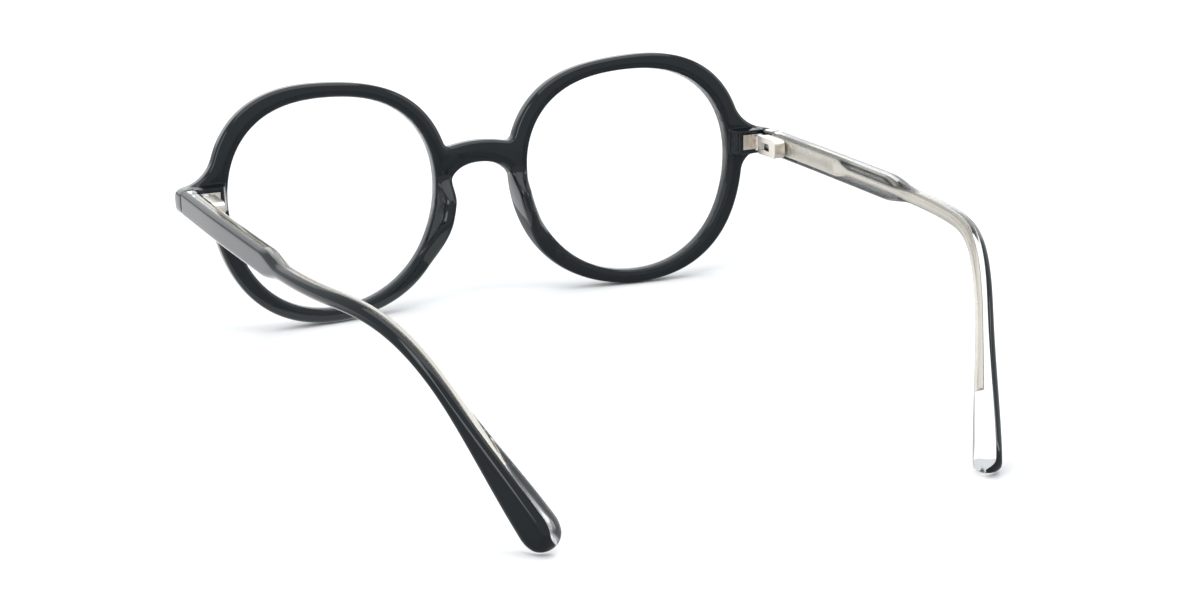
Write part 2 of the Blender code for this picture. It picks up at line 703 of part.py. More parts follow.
def temple_size(along):
    """Height, thickness and corner radius: a deep front, a shoulder, a slim middle and a paddle tip."""
    shoulder = smooth((along - SHOULDER_START) / (SHOULDER_END - SHOULDER_START))
    slim = smooth((along - BOW_START) / (EAR_END - BOW_START))
    tip = smooth((along - TIP_START) / (TEMPLE_LENGTH - TIP_START))
    height = TEMPLE_HEIGHT + (SLIM_HEIGHT - TEMPLE_HEIGHT) * shoulder + (TIP_HEIGHT - SLIM_HEIGHT) * tip
    thick = TEMPLE_THICKNESS + (SLIM_THICKNESS - TEMPLE_THICKNESS) * slim + (TIP_THICKNESS - SLIM_THICKNESS) * tip
    corner = TEMPLE_CORNER + (SLIM_CORNER - TEMPLE_CORNER) * shoulder
    left = np.clip((TEMPLE_LENGTH - along) / TIP_ROUND, 0, 1)
    return height * np.sqrt(1 - (1 - left) ** 2), thick, corner


def temple_stations(start):
    """Lengths along the temple, closer together at the shoulder and round the tip's end."""
    even = np.linspace(start, TEMPLE_LENGTH - TIP_ROUND, TEMPLE_STEPS)
    shoulder = np.linspace(SHOULDER_START, SHOULDER_END, 6)[1:-1]
    end = TEMPLE_LENGTH - TIP_ROUND * (1 - np.sin(np.linspace(0, math.radians(78), 6)[1:]))
    return np.sort(np.concatenate([even, shoulder, end]))


def layer_mesh(side):
    """One layer of the temple: side 1 is the outer one, -1 the inner. Each ring is flat on the split."""
    stations = temple_stations(JOINT_GAP)
    centre, across, up, _ = temple_path(stations)
    rings = []
    for point, out, rise, height, thick, corner in zip(centre, across, up, *temple_size(stations)):
        split = layer_split(thick) + side * LAYER_GAP / 2
        face = side * thick / 2
        corner = min(corner, 0.95 * height / 2, 0.95 * abs(face - split))
        turn = np.linspace(0, math.pi / 2, 4)
        a = face - side * corner * (1 - np.sin(turn))
        b = height / 2 - corner * (1 - np.cos(turn))
        flat = np.vstack([[(split, height / 2)], np.c_[a, b], np.c_[a, -b][::-1], [(split, -height / 2)]])
        rings.append(point + flat[:, :1] * out + flat[:, 1:] * rise)
    return rings_mesh(rings)


def core_mesh(clearance):
    """The core: a plate that tapers to the wire, following the temple inside the clear layer."""
    start = BARREL_SETBACK + BOX_FRONT + 0.0006
    end = TEMPLE_LENGTH - CORE_END_MARGIN + 4 * clearance
    stations = np.concatenate([
        [start - 10 * clearance, CORE_PLATE_END, CORE_TAPER_END], np.linspace(CORE_TAPER_END + 0.004, end, 22)
    ])
    centre, across, up, _ = temple_path(stations)
    taper = smooth((stations - CORE_PLATE_END) / (CORE_TAPER_END - CORE_PLATE_END))
    height = CORE_PLATE_HEIGHT + (CORE_WIRE_HEIGHT - CORE_PLATE_HEIGHT) * taper
    _, thick, _ = temple_size(stations)
    rings = []
    for point, out, rise, tall, wide in zip(centre, across, up, height, thick):
        middle, a, b = core_middle(wide), CORE_THICKNESS / 2 + clearance, tall / 2 + clearance
        cant = 0.4 * a
        flat = np.array([(a, b - cant), (a - cant, b), (cant - a, b), (-a, b - cant), (-a, cant - b), (cant - a, -b),
                         (a - cant, -b), (a, cant - b)]) + (middle, 0)
        rings.append(point + flat[:, :1] * out + flat[:, 1:] * rise)
    return rings_mesh(rings)


def temple(black, clear, metal, hinge):
    """The temple's three pieces: black outer layer, clear inner layer and the core shot into it."""
    outer = solid("temple_outer_left", layer_mesh(1), black, PARTS, hinge)
    inner = solid("temple_inner_left", layer_mesh(-1), clear, PARTS, hinge)
    cut(inner, cutter("core_channel", core_mesh(CORE_CLEARANCE)), hinge)
    low = (0, BOX_FRONT + 0.0015 - CORE_CLEARANCE, -BOX_FOOT_HALF - CORE_CLEARANCE)
    high = (core_inner() + CORE_THICKNESS / 2, BOX_END - 0.0015 + CORE_CLEARANCE, BOX_FOOT_HALF + CORE_CLEARANCE)
    cut(inner, cutter("foot_pocket", box_mesh(low, high)), hinge)
    core = solid("core_wire_left", core_mesh(0), metal, PARTS, hinge)
    return outer, inner, core


def mirrored(left, parent):
    """The right-hand twin of a finished left-hand piece, on the mirrored parent."""
    graph = bpy.context.evaluated_depsgraph_get()
    mesh = bpy.data.meshes.new_from_object(left.evaluated_get(graph))
    mesh.transform(Matrix.Diagonal((-1, 1, 1, 1)) @ left.matrix_local)
    mesh.flip_normals()
    mesh.name = left.name.replace("left", "right")
    return place(bpy.data.objects.new(mesh.name, mesh), PARTS, parent)


def world_points(obj):
    evaluated = obj.evaluated_get(bpy.context.evaluated_depsgraph_get())
    mesh = evaluated.to_mesh()
    points = np.array([evaluated.matrix_world @ vert.co for vert in mesh.vertices])
    evaluated.to_mesh_clear()
    return points


def stand(root, front, layers):
    """Leans the glasses until the rims and the temple tips touch one level surface at z = 0."""
    low, high = 0.0, math.radians(30)
    front_points, tip_points = world_points(front), np.vstack([world_points(layer) for layer in layers])

    def lowest(points, lean):
        return (points[:, 1] * math.sin(lean) + points[:, 2] * math.cos(lean)).min()

    for _ in range(50):
        lean = (low + high) / 2
        if lowest(tip_points, lean) < lowest(front_points, lean):
            low = lean
        else:
            high = lean
    both = np.vstack([front_points, tip_points])
    back = both[:, 1] * math.cos(lean) - both[:, 2] * math.sin(lean)
    root.rotation_euler.x = lean
    root.location = (0, -(back.min() + back.max()) / 2, -lowest(front_points, lean))


def build():
    black = material("black_acetate", (0.012, 0.013, 0.014), 0.08)
    clear = material("clear_acetate", (0.93, 0.93, 0.91), 0.05, transmission=1.0)
    glazing = material("demo_lens", (0.97, 0.98, 0.98), 0.02, transmission=1.0)
    silver = material("nickel_silver", (0.72, 0.69, 0.63), 0.28, metallic=1.0)
    steel = material("spring_steel", (0.55, 0.55, 0.55), 0.35, metallic=1.0)
    root = empty("eyeglasses", PARTS)
    hinge = empty("hinge_left", PARTS, root, sweep_back((HINGE_X, HINGE_Y - HINGE_X * math.tan(FACE_FORM), HINGE_V)),
                  -PANTOSCOPIC)
    twin = empty("hinge_right", PARTS, root, (-hinge.location.x, hinge.location.y, hinge.location.z), -PANTOSCOPIC)
    bpy.context.view_layer.update()
    front = front_frame(black, root, hinge)
    in_front = [lens(glazing, root), nose_pad(black, root)]
    on_hinge = [front_hinge(silver, hinge), hinge_screw(steel, hinge), spring_slider(silver, hinge),
                spring_box(silver, hinge), lock_clip(steel, hinge), hinge_spring(steel, hinge)]
    outer, inner, core = temple(black, clear, silver, hinge)
    on_hinge += [outer, inner, core]
    bpy.context.view_layer.update()
    for piece in in_front:
        mirrored(piece, root)
    for piece in on_hinge:
        mirrored(piece, twin)
    stand(root, front, [outer, inner])
    bpy.context.view_layer.update()


for old in list(bpy.data.objects):
    bpy.data.objects.remove(old)
PARTS = collection("round_eyeglasses")
CUTTERS = collection("cutters")
build()
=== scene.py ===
"""Round black acetate eyeglasses with laminated temples and sprung hinges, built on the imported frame.

The visible front, lenses, temples and cores are surfaces computed with numpy and stand for their
CAD nodes. The hinge parts are edge-broken copies of their nodes. Everything is in metres in the
frame's own axes: +Z up, the lenses face -Y and the wearer's left is +X.
"""

import json
import math

import bmesh
import bpy
import numpy as np
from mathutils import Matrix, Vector
from mathutils.geometry import delaunay_2d_cdt


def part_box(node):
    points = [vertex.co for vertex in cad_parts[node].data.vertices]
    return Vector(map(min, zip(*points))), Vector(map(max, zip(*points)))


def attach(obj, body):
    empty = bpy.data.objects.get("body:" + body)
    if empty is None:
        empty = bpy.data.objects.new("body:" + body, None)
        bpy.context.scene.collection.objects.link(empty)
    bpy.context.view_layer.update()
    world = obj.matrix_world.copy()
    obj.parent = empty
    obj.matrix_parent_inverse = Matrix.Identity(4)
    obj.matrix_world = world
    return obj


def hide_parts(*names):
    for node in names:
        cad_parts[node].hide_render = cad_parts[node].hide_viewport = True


bl_info = {
    "name": "Round acetate eyeglasses",
    "version": (1, 0, 0),
    "blender": (4, 5, 0),
    "location": "3D View > Sidebar > Eyeglasses",
    "description": "Builds round acetate eyeglasses with laminated temples on their packed frame",
    "category": "Add Mesh",
}

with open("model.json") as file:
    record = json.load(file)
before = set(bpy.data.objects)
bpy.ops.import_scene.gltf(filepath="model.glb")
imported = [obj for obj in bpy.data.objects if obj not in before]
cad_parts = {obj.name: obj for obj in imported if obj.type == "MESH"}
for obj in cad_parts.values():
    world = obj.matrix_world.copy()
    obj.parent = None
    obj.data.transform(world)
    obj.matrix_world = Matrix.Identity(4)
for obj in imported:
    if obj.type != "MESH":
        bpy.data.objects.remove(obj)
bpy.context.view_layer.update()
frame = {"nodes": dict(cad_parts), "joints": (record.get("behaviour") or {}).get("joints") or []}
MM = 0.001
SIDES = (("left", 1.0), ("right", -1.0))

# Sizes in millimetres that the CAD shares, in the front's own plane: x across, v up.
LENS_RADIUS, LENS_WIDER, LENS_BROW, LENS_NASAL, LENS_SQUARER = 23.7, 0.5, 0.6, 0.2, 0.35
LENS_X = 35.0
RIM_WIDTH, RIM_SIDE, RIM_CORNER = 3.6, 0.4, 0.2
RIM_OUTWARD, RIM_BROW, RIM_TAPER, RIM_SQUARER = 0.1, 0.1, 0.12, 0.2
FRONT_THICKNESS = 3.9
FACE_FORM = math.radians(4.85)
BRIDGE_TOP, BRIDGE_SHOULDER, BRIDGE_DIP, BRIDGE_FLARE = 9.4, 7.0, 0.8, 21.0
ARCH_TOP, ARCH_HALF, ARCH_DROP, ARCH_POWER = 4.6, 8.2, 7.8, 2.3
END_REACH, END_UPPER, END_LOWER, END_CORNER = 7.12, 8.4, 4.5, 1.5
JOINT_DEPTH, JOINT_RISE = 8.0, 3.6
PANTOSCOPIC = math.radians(5.0)
RIM_TEMPORAL = RIM_WIDTH + RIM_SIDE + RIM_OUTWARD - RIM_TAPER - RIM_SQUARER
HALF_WIDTH = LENS_X + LENS_RADIUS + LENS_WIDER - LENS_NASAL - LENS_SQUARER + RIM_TEMPORAL + END_REACH
PLATE_HALF_HEIGHT, PLATE_OUTER, PLATE_CLEARANCE = 1.7, 0.85, 0.15
POCKET_DEPTH, POCKET_EDGE = 1.0, 0.04
HINGE_SET = 1.5
BUTT_GAP = 0.06
TEMPLE_LENGTH = 149.7
SHOULDER = (54.0, 65.0)
TOE_IN = (14.0, 34.0, math.radians(1.0))
BOW = (53.9, 124.8, math.radians(28.8))
EAR = (84.2, 121.0, math.radians(46.7))
TIP_START, TIP_ROUND = 115.2, 4.5
CORE_START, PLATE_END, TAPER_END, CORE_MARGIN = 3.6, 33.0, 39.5, 15.7
PLATE_HEIGHT, WIRE_HEIGHT, CORE_HALF = 3.4, 1.4, 0.4

# Sizes in millimetres, and angles in degrees round the lens, that only the visible surfaces have.
PAD_FROM, PAD_RISE, PAD_TO, PAD_RUN_OUT, PAD_RUN_POWER = 174.5, 13.0, 219.0, 24.0, 0.9
PAD_LENS_SIDE, PAD_SLOPE, PAD_EXTRA_ROUND = 0.08, 0.8, 0.5
BLOCK_FROM, BLOCK_SLOPE, BLOCK_OVER, BLOCK_STEEP = 58.9, 1.7, 0.35, 0.4
CROWN_WIDTH, CROWN_INNER = 1.5, 1.2
OUTLINE_STEP, OUTLINE_EASING, GRID_MARGIN, SEAM_MARGIN = 0.42, 3, 0.12, 1.3
BRIDGE_BLEND, LENS_OVERLAP = 6.0, 0.25
ROW_SHARE = 0.87
BUTT_BREAK, TIP_EDGE = 0.2, 1.6
CORNER, CORNER_BEHIND, CORNER_TIP = 1.1, 0.5, 0.75
LAYER_GAP = 0.02
RIB_PITCH, RIB_LEAN, RIBS_FROM = 0.72, 0.55, 12.6
WIRE_END = 0.5

# The stage, in metres and watts: each light's name, place, the point it faces, its size and its power.
FLOOR_REACH, FLOOR_DROP = 3.0, 2e-5
FLOOR_REFLECTED = (0.4, 0.4, 0.41)
STUDIO_COLOUR, STUDIO_STRENGTH = (0.93, 0.97, 1.0), 0.8
LIGHTS = (
    ("sky", (0.0, 0.0, 1.3), (0, 0, 0), (1.6, 1.6), 12),
    ("far_panel", (-0.5, -1.5, 0.55), (0, 0, 0.05), (2.6, 1.0), 6),
    ("left_window", (1.3, 0.5, 0.8), (0, 0, 0.02), (0.5, 0.9), 5),
    ("right_window", (-1.3, 0.6, 0.6), (0, 0, 0.02), (0.35, 0.9), 4),
    ("low_card", (0.215, -0.23, 0.0002), (0.215, -0.23, 1), (0.25, 0.42), 0.26),
    ("nose_card", (0.045, -0.2, 0.0002), (0.045, -0.2, 1), (0.09, 0.36), 0.09),
)
CAMERA_SIDE, CAMERA_BEHIND, CAMERA_HEIGHT = 0.1879, 0.4828, 0.1618
CAMERA_BACK = (0.3904, 0.8703, 0.3002)
CAMERA_LENS = 72.45


def smooth(t):
    """0 to 1 with a level start and end: 3 t squared less 2 t cubed."""
    t = np.clip(t, 0, 1)
    return t * t * (3 - 2 * t)


def joint(name):
    """The frame's joint of this name."""
    return next(j for j in frame["joints"] if j["name"] == name)


def hinge_frame():
    """Origin and axes of the left hinge: x outwards, y along the temple, z along the screw."""
    fold, draw = joint("fold_left"), joint("draw_left")
    along, screw = np.array(draw["axis"], float), np.array(fold["axis"], float)
    return np.array(fold["pos_m"], float) / MM, np.stack([np.cross(along, screw), along, screw])


HINGE, HINGE_AXES = hinge_frame()
LEAN = math.atan2(HINGE_AXES[1][2], HINGE_AXES[1][1]) + PANTOSCOPIC
HINGE_X = float(HINGE[0])
HINGE_Y = JOINT_DEPTH + HINGE_SET * math.cos(PANTOSCOPIC)
HINGE_V = JOINT_RISE - HINGE_SET * math.sin(PANTOSCOPIC)


def lean(points):
    """Front-plane points (x, y, v) turned about X by the lean of the standing glasses."""
    x, y, v = np.moveaxis(np.asarray(points, float), -1, 0)
    cosine, sine = math.cos(LEAN), math.sin(LEAN)
    return np.stack([x, y * cosine - v * sine, y * sine + v * cosine], axis=-1)


FRONT_PLACE = HINGE - lean((HINGE_X, HINGE_Y, HINGE_V))


def from_front(points):
    """Front-plane points in millimetres as points of the frame in metres."""
    return (lean(points) + FRONT_PLACE) * MM


def from_hinge(points):
    """Left hinge points in millimetres as points of the frame in metres."""
    return (np.asarray(points, float) @ HINGE_AXES + HINGE) * MM


# ---------------------------------------------------------------- sizes and colours


def length(name, default, description):
    """A length property in metres."""
    return bpy.props.FloatProperty(
        name=name,
        description=description,
        default=default,
        min=0,
        precision=5,
        unit="LENGTH",
        subtype="DISTANCE",
    )


def colour(name, default, description):
    """A colour property, linear."""
    return bpy.props.FloatVectorProperty(
        name=name, description=description, default=default, size=3, min=0, max=1, subtype="COLOR"
    )


class EyeglassesSizes(bpy.types.PropertyGroup):
    """Sizes of the visible surfaces"""

    edge_round: length("Outer edge rounding", 0.0009, "Radius of the tumbled outer edges of the front")
    inner_round: length("Opening edge rounding", 0.0005, "Radius of the edges round the lens openings")
    crown: length("Face crown", 0.00016, "How far the front's faces fall away near their edges")
    pad_height: length("Nose pad height", 0.0044, "How far the nose pads stand off the rear face")
    temple_height: length("Temple height", 0.0054, "Height of the temple's straight front part")
    slim_height: length("Slim height", 0.0031, "Height of the temple behind its shoulder")
    tip_height: length("Tip height", 0.0078, "Height of the paddle tip")
    temple_thickness: length("Temple thickness", 0.0036, "Thickness of both layers together at the hinge")
    slim_thickness: length("Slim thickness", 0.0034, "Thickness at the ear bend")
    tip_thickness: length("Tip thickness", 0.0052, "Thickness of the paddle tip")
    outer_layer: length("Black layer", 0.0012, "Thickness of the temple's black outer layer")
    lens_thickness: length("Lens thickness", 0.0018, "Thickness of the demonstration lenses")
    lens_dome: length("Lens dome", 0.0022, "How far the lens's middle stands in front of its edge")
    rib_depth: length("Rib depth", 0.00016, "Depth of the ribs rolled into the core plate")
    edge_break: length("Metal edge break", 0.00006, "Radius of the broken edges of the hinge parts")


class EyeglassesFinishes(bpy.types.PropertyGroup):
    """Colours of the finishes"""

    black: colour("Black acetate", (0.0025, 0.0045, 0.0055), "Body colour of the front and outer layers")
    clear: colour("Clear acetate", (0.965, 0.965, 0.95), "Tint of the clear inner layers")
    lens: colour("Lens", (0.985, 0.99, 0.99), "Tint of the demonstration lenses")
    nickel: colour("Nickel silver", (0.9, 0.84, 0.755), "Colour of the hinge parts and cores")
    steel: colour("Steel", (0.56, 0.56, 0.57), "Colour of the screws, clips and springs")
    floor: colour("Floor", (0.9, 0.9, 0.9), "Colour of the floor")


# ---------------------------------------------------------------- mesh helpers


def mesh_piece(name, points, faces, material, crease=40.0, groove_shade=None):
    """A new piece at the origin from points in metres and faces, smooth but for its creases.

    The last argument is painted shade for each point. It runs from 0 to 1 with the depth of the rib grooves,
    and the metal finish darkens by it.
    """
    mesh = bpy.data.meshes.new(name)
    mesh.from_pydata(np.asarray(points, float).tolist(), [], [tuple(map(int, f)) for f in faces])
    if groove_shade is not None:
        # The painted shade of the rib grooves is stored as a point attribute.
        mesh.attributes.new("groove_shade", "FLOAT", "POINT").data.foreach_set("value", groove_shade)
    bm = bmesh.new()
    bm.from_mesh(mesh)
    bmesh.ops.remove_doubles(bm, verts=bm.verts, dist=1e-7)
    bmesh.ops.dissolve_degenerate(bm, edges=bm.edges, dist=1e-8)
    bmesh.ops.recalc_face_normals(bm, faces=bm.faces)
    bm.to_mesh(mesh)
    bm.free()
    mesh.shade_smooth()
    mesh.set_sharp_from_angle(angle=math.radians(crease))
    mesh.materials.append(material)
    piece = bpy.data.objects.new(name, mesh)
    bpy.context.scene.collection.objects.link(piece)
    return piece


def tube_faces(rows, columns):
    """Quads over a grid whose columns close on themselves, and the two end caps."""
    i, j = np.meshgrid(np.arange(rows - 1), np.arange(columns), indexing="ij")
    k = (j + 1) % columns
    here, next_row = i * columns, (i + 1) * columns
    quads = np.stack([here + j, here + k, next_row + k, next_row + j], axis=-1)
    caps = [list(range(columns))[::-1], list(range((rows - 1) * columns, rows * columns))]
    return [*quads.reshape(-1, 4).tolist(), *caps]


def mirrored(points, side):
    """Points of the left side on their own side: side is 1 or -1."""
    return np.asarray(points) * (side, 1, 1)


# ---------------------------------------------------------------- the front's outline


def lens_radius(angle):
    """Radius of the lens opening: a circle with waves of two, three and four periods."""
    return (
        LENS_RADIUS
        + LENS_WIDER * np.cos(2 * angle)
        + LENS_BROW * np.sin(3 * angle)
        - LENS_NASAL * np.cos(3 * angle)
        - LENS_SQUARER * np.cos(4 * angle)
    )


def rim_radius(angle):
    """The opening's radius plus the rim's width.

    The width is a constant with waves of one to four periods, so it is broader at the brow, the
    sides and the temporal corners.
    """
    return (
        lens_radius(angle)
        + RIM_WIDTH
        + RIM_SIDE * np.cos(2 * angle)
        + RIM_CORNER * np.sin(2 * angle)
        + RIM_OUTWARD * np.cos(angle)
        + RIM_BROW * np.sin(angle)
        - RIM_TAPER * np.cos(3 * angle)
        - RIM_SQUARER * np.cos(4 * angle)
    )


def around_lens(radius, angle):
    """Points (x, v) at these radii and angles from the lens's middle."""
    return np.stack([LENS_X + radius * np.cos(angle), radius * np.sin(angle)], axis=-1)


def arc(centre, radius, start, end, steps):
    """Points (x, v) along an arc."""
    angle = np.linspace(start, end, steps)
    return np.stack([centre[0] + radius * np.cos(angle), centre[1] + radius * np.sin(angle)], axis=-1)


def outside_rim(points):
    """The points of a curve before it enters the rim."""
    x, v = points[:, 0] - LENS_X, points[:, 1]
    spare = np.hypot(x, v) - rim_radius(np.arctan2(v, x))
    return points[: int(np.argmax(spare <= 0))]


def angle_of(point):
    """The angle of a point (x, v) seen from the lens's middle."""
    return math.atan2(point[1], point[0] - LENS_X)


def end_fillet(edge_v, radius, side):
    """The arc that touches the rim and the end piece's upper (1) or lower (-1) edge, and its rim angle.

    The arc's middle has a known height and lies the arc's radius outside the rim. Its angle seen
    from the lens's middle is found by repeated substitution.
    """
    centre_v = edge_v + side * radius
    angle = 0.2 * side
    for _ in range(12):
        reach = float(rim_radius(angle)) + radius
        angle = math.asin(centre_v / reach)
    ends = (math.pi + angle, 1.5 * math.pi) if side > 0 else (math.pi / 2, math.pi + angle)
    return arc((LENS_X + reach * math.cos(angle), centre_v), radius, *ends, 40), angle


def front_outline(height, spacing):
    """The left half's outer edge from the bridge's top middle clockwise to the arch's middle.

    The bridge's top dips by a parabola to its shoulder and turns up beyond it, and the arch under
    it is a superellipse. The line is drawn finely, resampled to even spacing by arc length, and its
    inner corners are eased by rounds of averaging with the neighbours.
    """
    x = np.linspace(0, 1.7, 400) * BRIDGE_SHOULDER
    dip = BRIDGE_DIP * np.minimum(x / BRIDGE_SHOULDER, 1) ** 2
    flare = BRIDGE_FLARE * np.maximum(x / BRIDGE_SHOULDER - 1, 0) ** 2
    top = outside_rim(np.stack([x, BRIDGE_TOP - dip + flare], axis=-1))
    t = np.linspace(0, math.pi / 2, 500)
    arch_x, arch_fall = ARCH_HALF * np.sin(t) ** (2 / ARCH_POWER), 1 - np.cos(t) ** (2 / ARCH_POWER)
    arch = outside_rim(np.stack([arch_x, ARCH_TOP - ARCH_DROP * arch_fall], axis=-1))
    upper_v, lower_v = JOINT_RISE + height / 2, JOINT_RISE - height / 2
    upper, upper_angle = end_fillet(upper_v, END_UPPER, 1)
    lower, lower_angle = end_fillet(lower_v, END_LOWER, -1)
    corner_x = HALF_WIDTH - END_CORNER
    upper, lower = upper[upper[:, 0] < corner_x], lower[lower[:, 0] < corner_x]
    brow = np.linspace(angle_of(top[-1]), upper_angle, 500)[1:-1]
    arch_angle = angle_of(arch[-1]) % (2 * math.pi) - 2 * math.pi
    cheek = np.linspace(lower_angle, arch_angle, 700)[1:-1]
    line = np.vstack(
        [
            top,
            around_lens(rim_radius(brow), brow),
            upper,
            arc((corner_x, upper_v - END_CORNER), END_CORNER, math.pi / 2, 0, 20),
            arc((corner_x, lower_v + END_CORNER), END_CORNER, 0, -math.pi / 2, 20),
            lower,
            around_lens(rim_radius(cheek), cheek),
            arch[::-1],
        ]
    )
    walked = np.concatenate([[0], np.cumsum(np.linalg.norm(np.diff(line, axis=0), axis=1))])
    even = np.linspace(0, walked[-1], int(walked[-1] / spacing))
    line = np.stack([np.interp(even, walked, line[:, i]) for i in (0, 1)], axis=-1)
    for _ in range(OUTLINE_EASING):
        line[1:-1] = 0.25 * line[:-2] + 0.5 * line[1:-1] + 0.25 * line[2:]
    return line


def inward_normals(line):
    """Unit normals to the right of a clockwise line, straight down and up at its two ends."""
    along = np.gradient(line, axis=0)
    along /= np.linalg.norm(along, axis=1)[:, None]
    normal = np.stack([along[:, 1], -along[:, 0]], axis=-1)
    normal[0], normal[-1] = (0, -1), (0, 1)
    return normal


def distance_to_line(points, line):
    """Distance from each point to the nearest segment of a line, and the share along it."""
    best = np.full(len(points), np.inf)
    where = np.zeros(len(points))
    start, run = line[:-1], np.diff(line, axis=0)
    square = np.sum(run * run, axis=1)
    for first in range(0, len(points), 2000):
        some = points[first : first + 2000]
        gap = some[:, None] - start
        share = np.clip(np.sum(gap * run, axis=2) / square, 0, 1)
        away = np.linalg.norm(gap - share[..., None] * run, axis=2)
        nearest = away.argmin(axis=1)
        rows = np.arange(len(some))
        best[first : first + 2000] = away[rows, nearest]
        where[first : first + 2000] = (nearest + share[rows, nearest]) / len(run)
    return best, where


def rounding(distance, radius):
    """How far a quarter-round edge lies below its face at this distance from the edge."""
    inside = np.clip(distance / radius, 0, 1)
    return radius * (1 - np.sqrt(1 - (1 - inside) ** 2))


def swept(x):
    """The front plane's depth at x: turned back by the face form, with a parabola over its middle."""
    x = np.abs(x)
    return math.tan(FACE_FORM) * np.where(x < BRIDGE_BLEND, x * x / (2 * BRIDGE_BLEND) + BRIDGE_BLEND / 2, x)


def pad_height(points, height):
    """The nose pads' height: a hump along the rim's nasal side that rises from the lens side.

    Along the rim it is the product of a quick rise below the bridge and a long run-out. Across the
    rim it is a quarter ellipse from the lens side to the rim's outer side.
    """
    x, v = points[:, 0] - LENS_X, points[:, 1]
    angle = np.degrees(np.arctan2(v, x)) % 360
    radius, turn = np.hypot(x, v), np.arctan2(v, x)
    across = (radius - lens_radius(turn)) / (rim_radius(turn) - lens_radius(turn))
    along = smooth((angle - PAD_FROM) / PAD_RISE) * smooth((PAD_TO - angle) / PAD_RUN_OUT) ** PAD_RUN_POWER
    ridge = np.sqrt(1 - (1 - np.clip((across - PAD_LENS_SIDE) / PAD_SLOPE, 0, 1)) ** 2)
    return height * along * ridge


def block_share(points, height):
    """1 on the end block behind the front, 0 on the slab, with a sloped nasal side and steep edges."""
    x, v = points[:, 0], points[:, 1]
    nasal = smooth((x - BLOCK_FROM) / BLOCK_SLOPE)
    upper = smooth((JOINT_RISE + height / 2 + BLOCK_OVER - v) / BLOCK_STEEP)
    lower = smooth((v - JOINT_RISE + height / 2 + BLOCK_OVER) / BLOCK_STEEP)
    return nasal * upper * lower


def plate_outline(margin):
    """The hinge plate's outline in the front plane, grown by a margin: it has four corners."""
    low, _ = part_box("front_hinge_left")
    inner, outer = low.x / MM - margin, HINGE_X + PLATE_OUTER + margin
    bottom, top = JOINT_RISE - PLATE_HALF_HEIGHT - margin, JOINT_RISE + PLATE_HALF_HEIGHT + margin
    return np.array([(inner, bottom), (outer, bottom), (outer, top), (inner, top)])


def inside_box(points, corners):
    """Whether each point lies inside the rectangle of these corners."""
    return np.all((points > corners[0]) & (points < corners[2]), axis=1)


def grid_in(low, high, step):
    """A triangular grid of points between two corners."""
    x, v = np.meshgrid(np.arange(low[0], high[0], step), np.arange(low[1], high[1], step * ROW_SHARE))
    x = x + (np.arange(len(v))[:, None] % 2) * step / 2
    return np.stack([x.ravel(), v.ravel()], axis=-1)


def local_round(line, sizes):
    """Edge radius along the outline: larger on the nose pads' side walls."""
    return sizes.edge_round / MM + PAD_EXTRA_ROUND * np.clip(pad_height(line, 1.0), 0, 1)


def front_points(sizes):
    """Points and guide edges in the front plane: rows along both edges and grids between them."""
    line = front_outline(sizes.temple_height / MM, OUTLINE_STEP)
    normal, radius = inward_normals(line), local_round(line, sizes)
    steps = 1 - np.sin(np.linspace(math.pi / 2, 0, 8))
    rows = [line + normal * (radius * s)[:, None] for s in steps]
    for row in rows:
        row[[0, -1], 0] = 0
    turn = np.linspace(0, 2 * math.pi, 340, endpoint=False)
    inner = sizes.inner_round / MM
    steps = 1 - np.sin(np.linspace(math.pi / 2, 0, 6))
    loops = [around_lens(lens_radius(turn) + inner * s, turn) for s in steps]
    pocket = [plate_outline(PLATE_CLEARANCE), plate_outline(PLATE_CLEARANCE - POCKET_EDGE)]
    grids = np.vstack(
        [
            grid_in((0.3, -27), (70, 27), 0.62),
            grid_in((6, -18), (14, 3), 0.3),
            grid_in((57.8, -0.5), (69.6, 8.2), 0.2),
        ]
    )
    away, where = distance_to_line(grids, line)
    inside = beyond_lens(grids) > inner + GRID_MARGIN
    inside &= away > np.interp(where, np.linspace(0, 1, len(line)), radius) + GRID_MARGIN
    inside &= in_outline(grids, line)
    seam_v = np.linspace(ARCH_TOP + SEAM_MARGIN, BRIDGE_TOP - SEAM_MARGIN, 8)
    seam = np.stack([np.zeros(len(seam_v)), seam_v], axis=-1)
    parts, edges, count = [], [], 0
    for points, closed in [*[(r, False) for r in rows], *[(p, True) for p in (*loops, *pocket)]]:
        index = np.arange(len(points)) + count
        pairs = np.stack([index, np.roll(index, -1)], axis=-1)
        edges.append(pairs if closed else pairs[:-1])
        parts.append(points)
        count += len(points)
    return np.vstack([*parts, grids[inside], seam]), np.vstack(edges), line


def in_outline(points, line):
    """Whether each point is inside the closed outline, by counting crossings of a ray to the right."""
    loop = np.vstack([line, line[:1]])
    a, b = loop[:-1], loop[1:]
    run, rise = b[:, 0] - a[:, 0], b[:, 1] - a[:, 1]
    rise = np.where(rise == 0, 1, rise)
    inside = np.zeros(len(points), bool)
    for first in range(0, len(points), 4000):
        x, v = (points[first : first + 4000, i][:, None] for i in (0, 1))
        crosses = (a[:, 1] > v) != (b[:, 1] > v)
        at = a[:, 0] + (v - a[:, 1]) * run / rise
        inside[first : first + 4000] = (crosses & (x < at)).sum(axis=1) % 2 == 1
    return inside


def beyond_lens(points):
    """How far each point lies outside the lens opening, along its radius."""
    x, v = points[:, 0] - LENS_X, points[:, 1]
    return np.hypot(x, v) - lens_radius(np.arctan2(v, x))


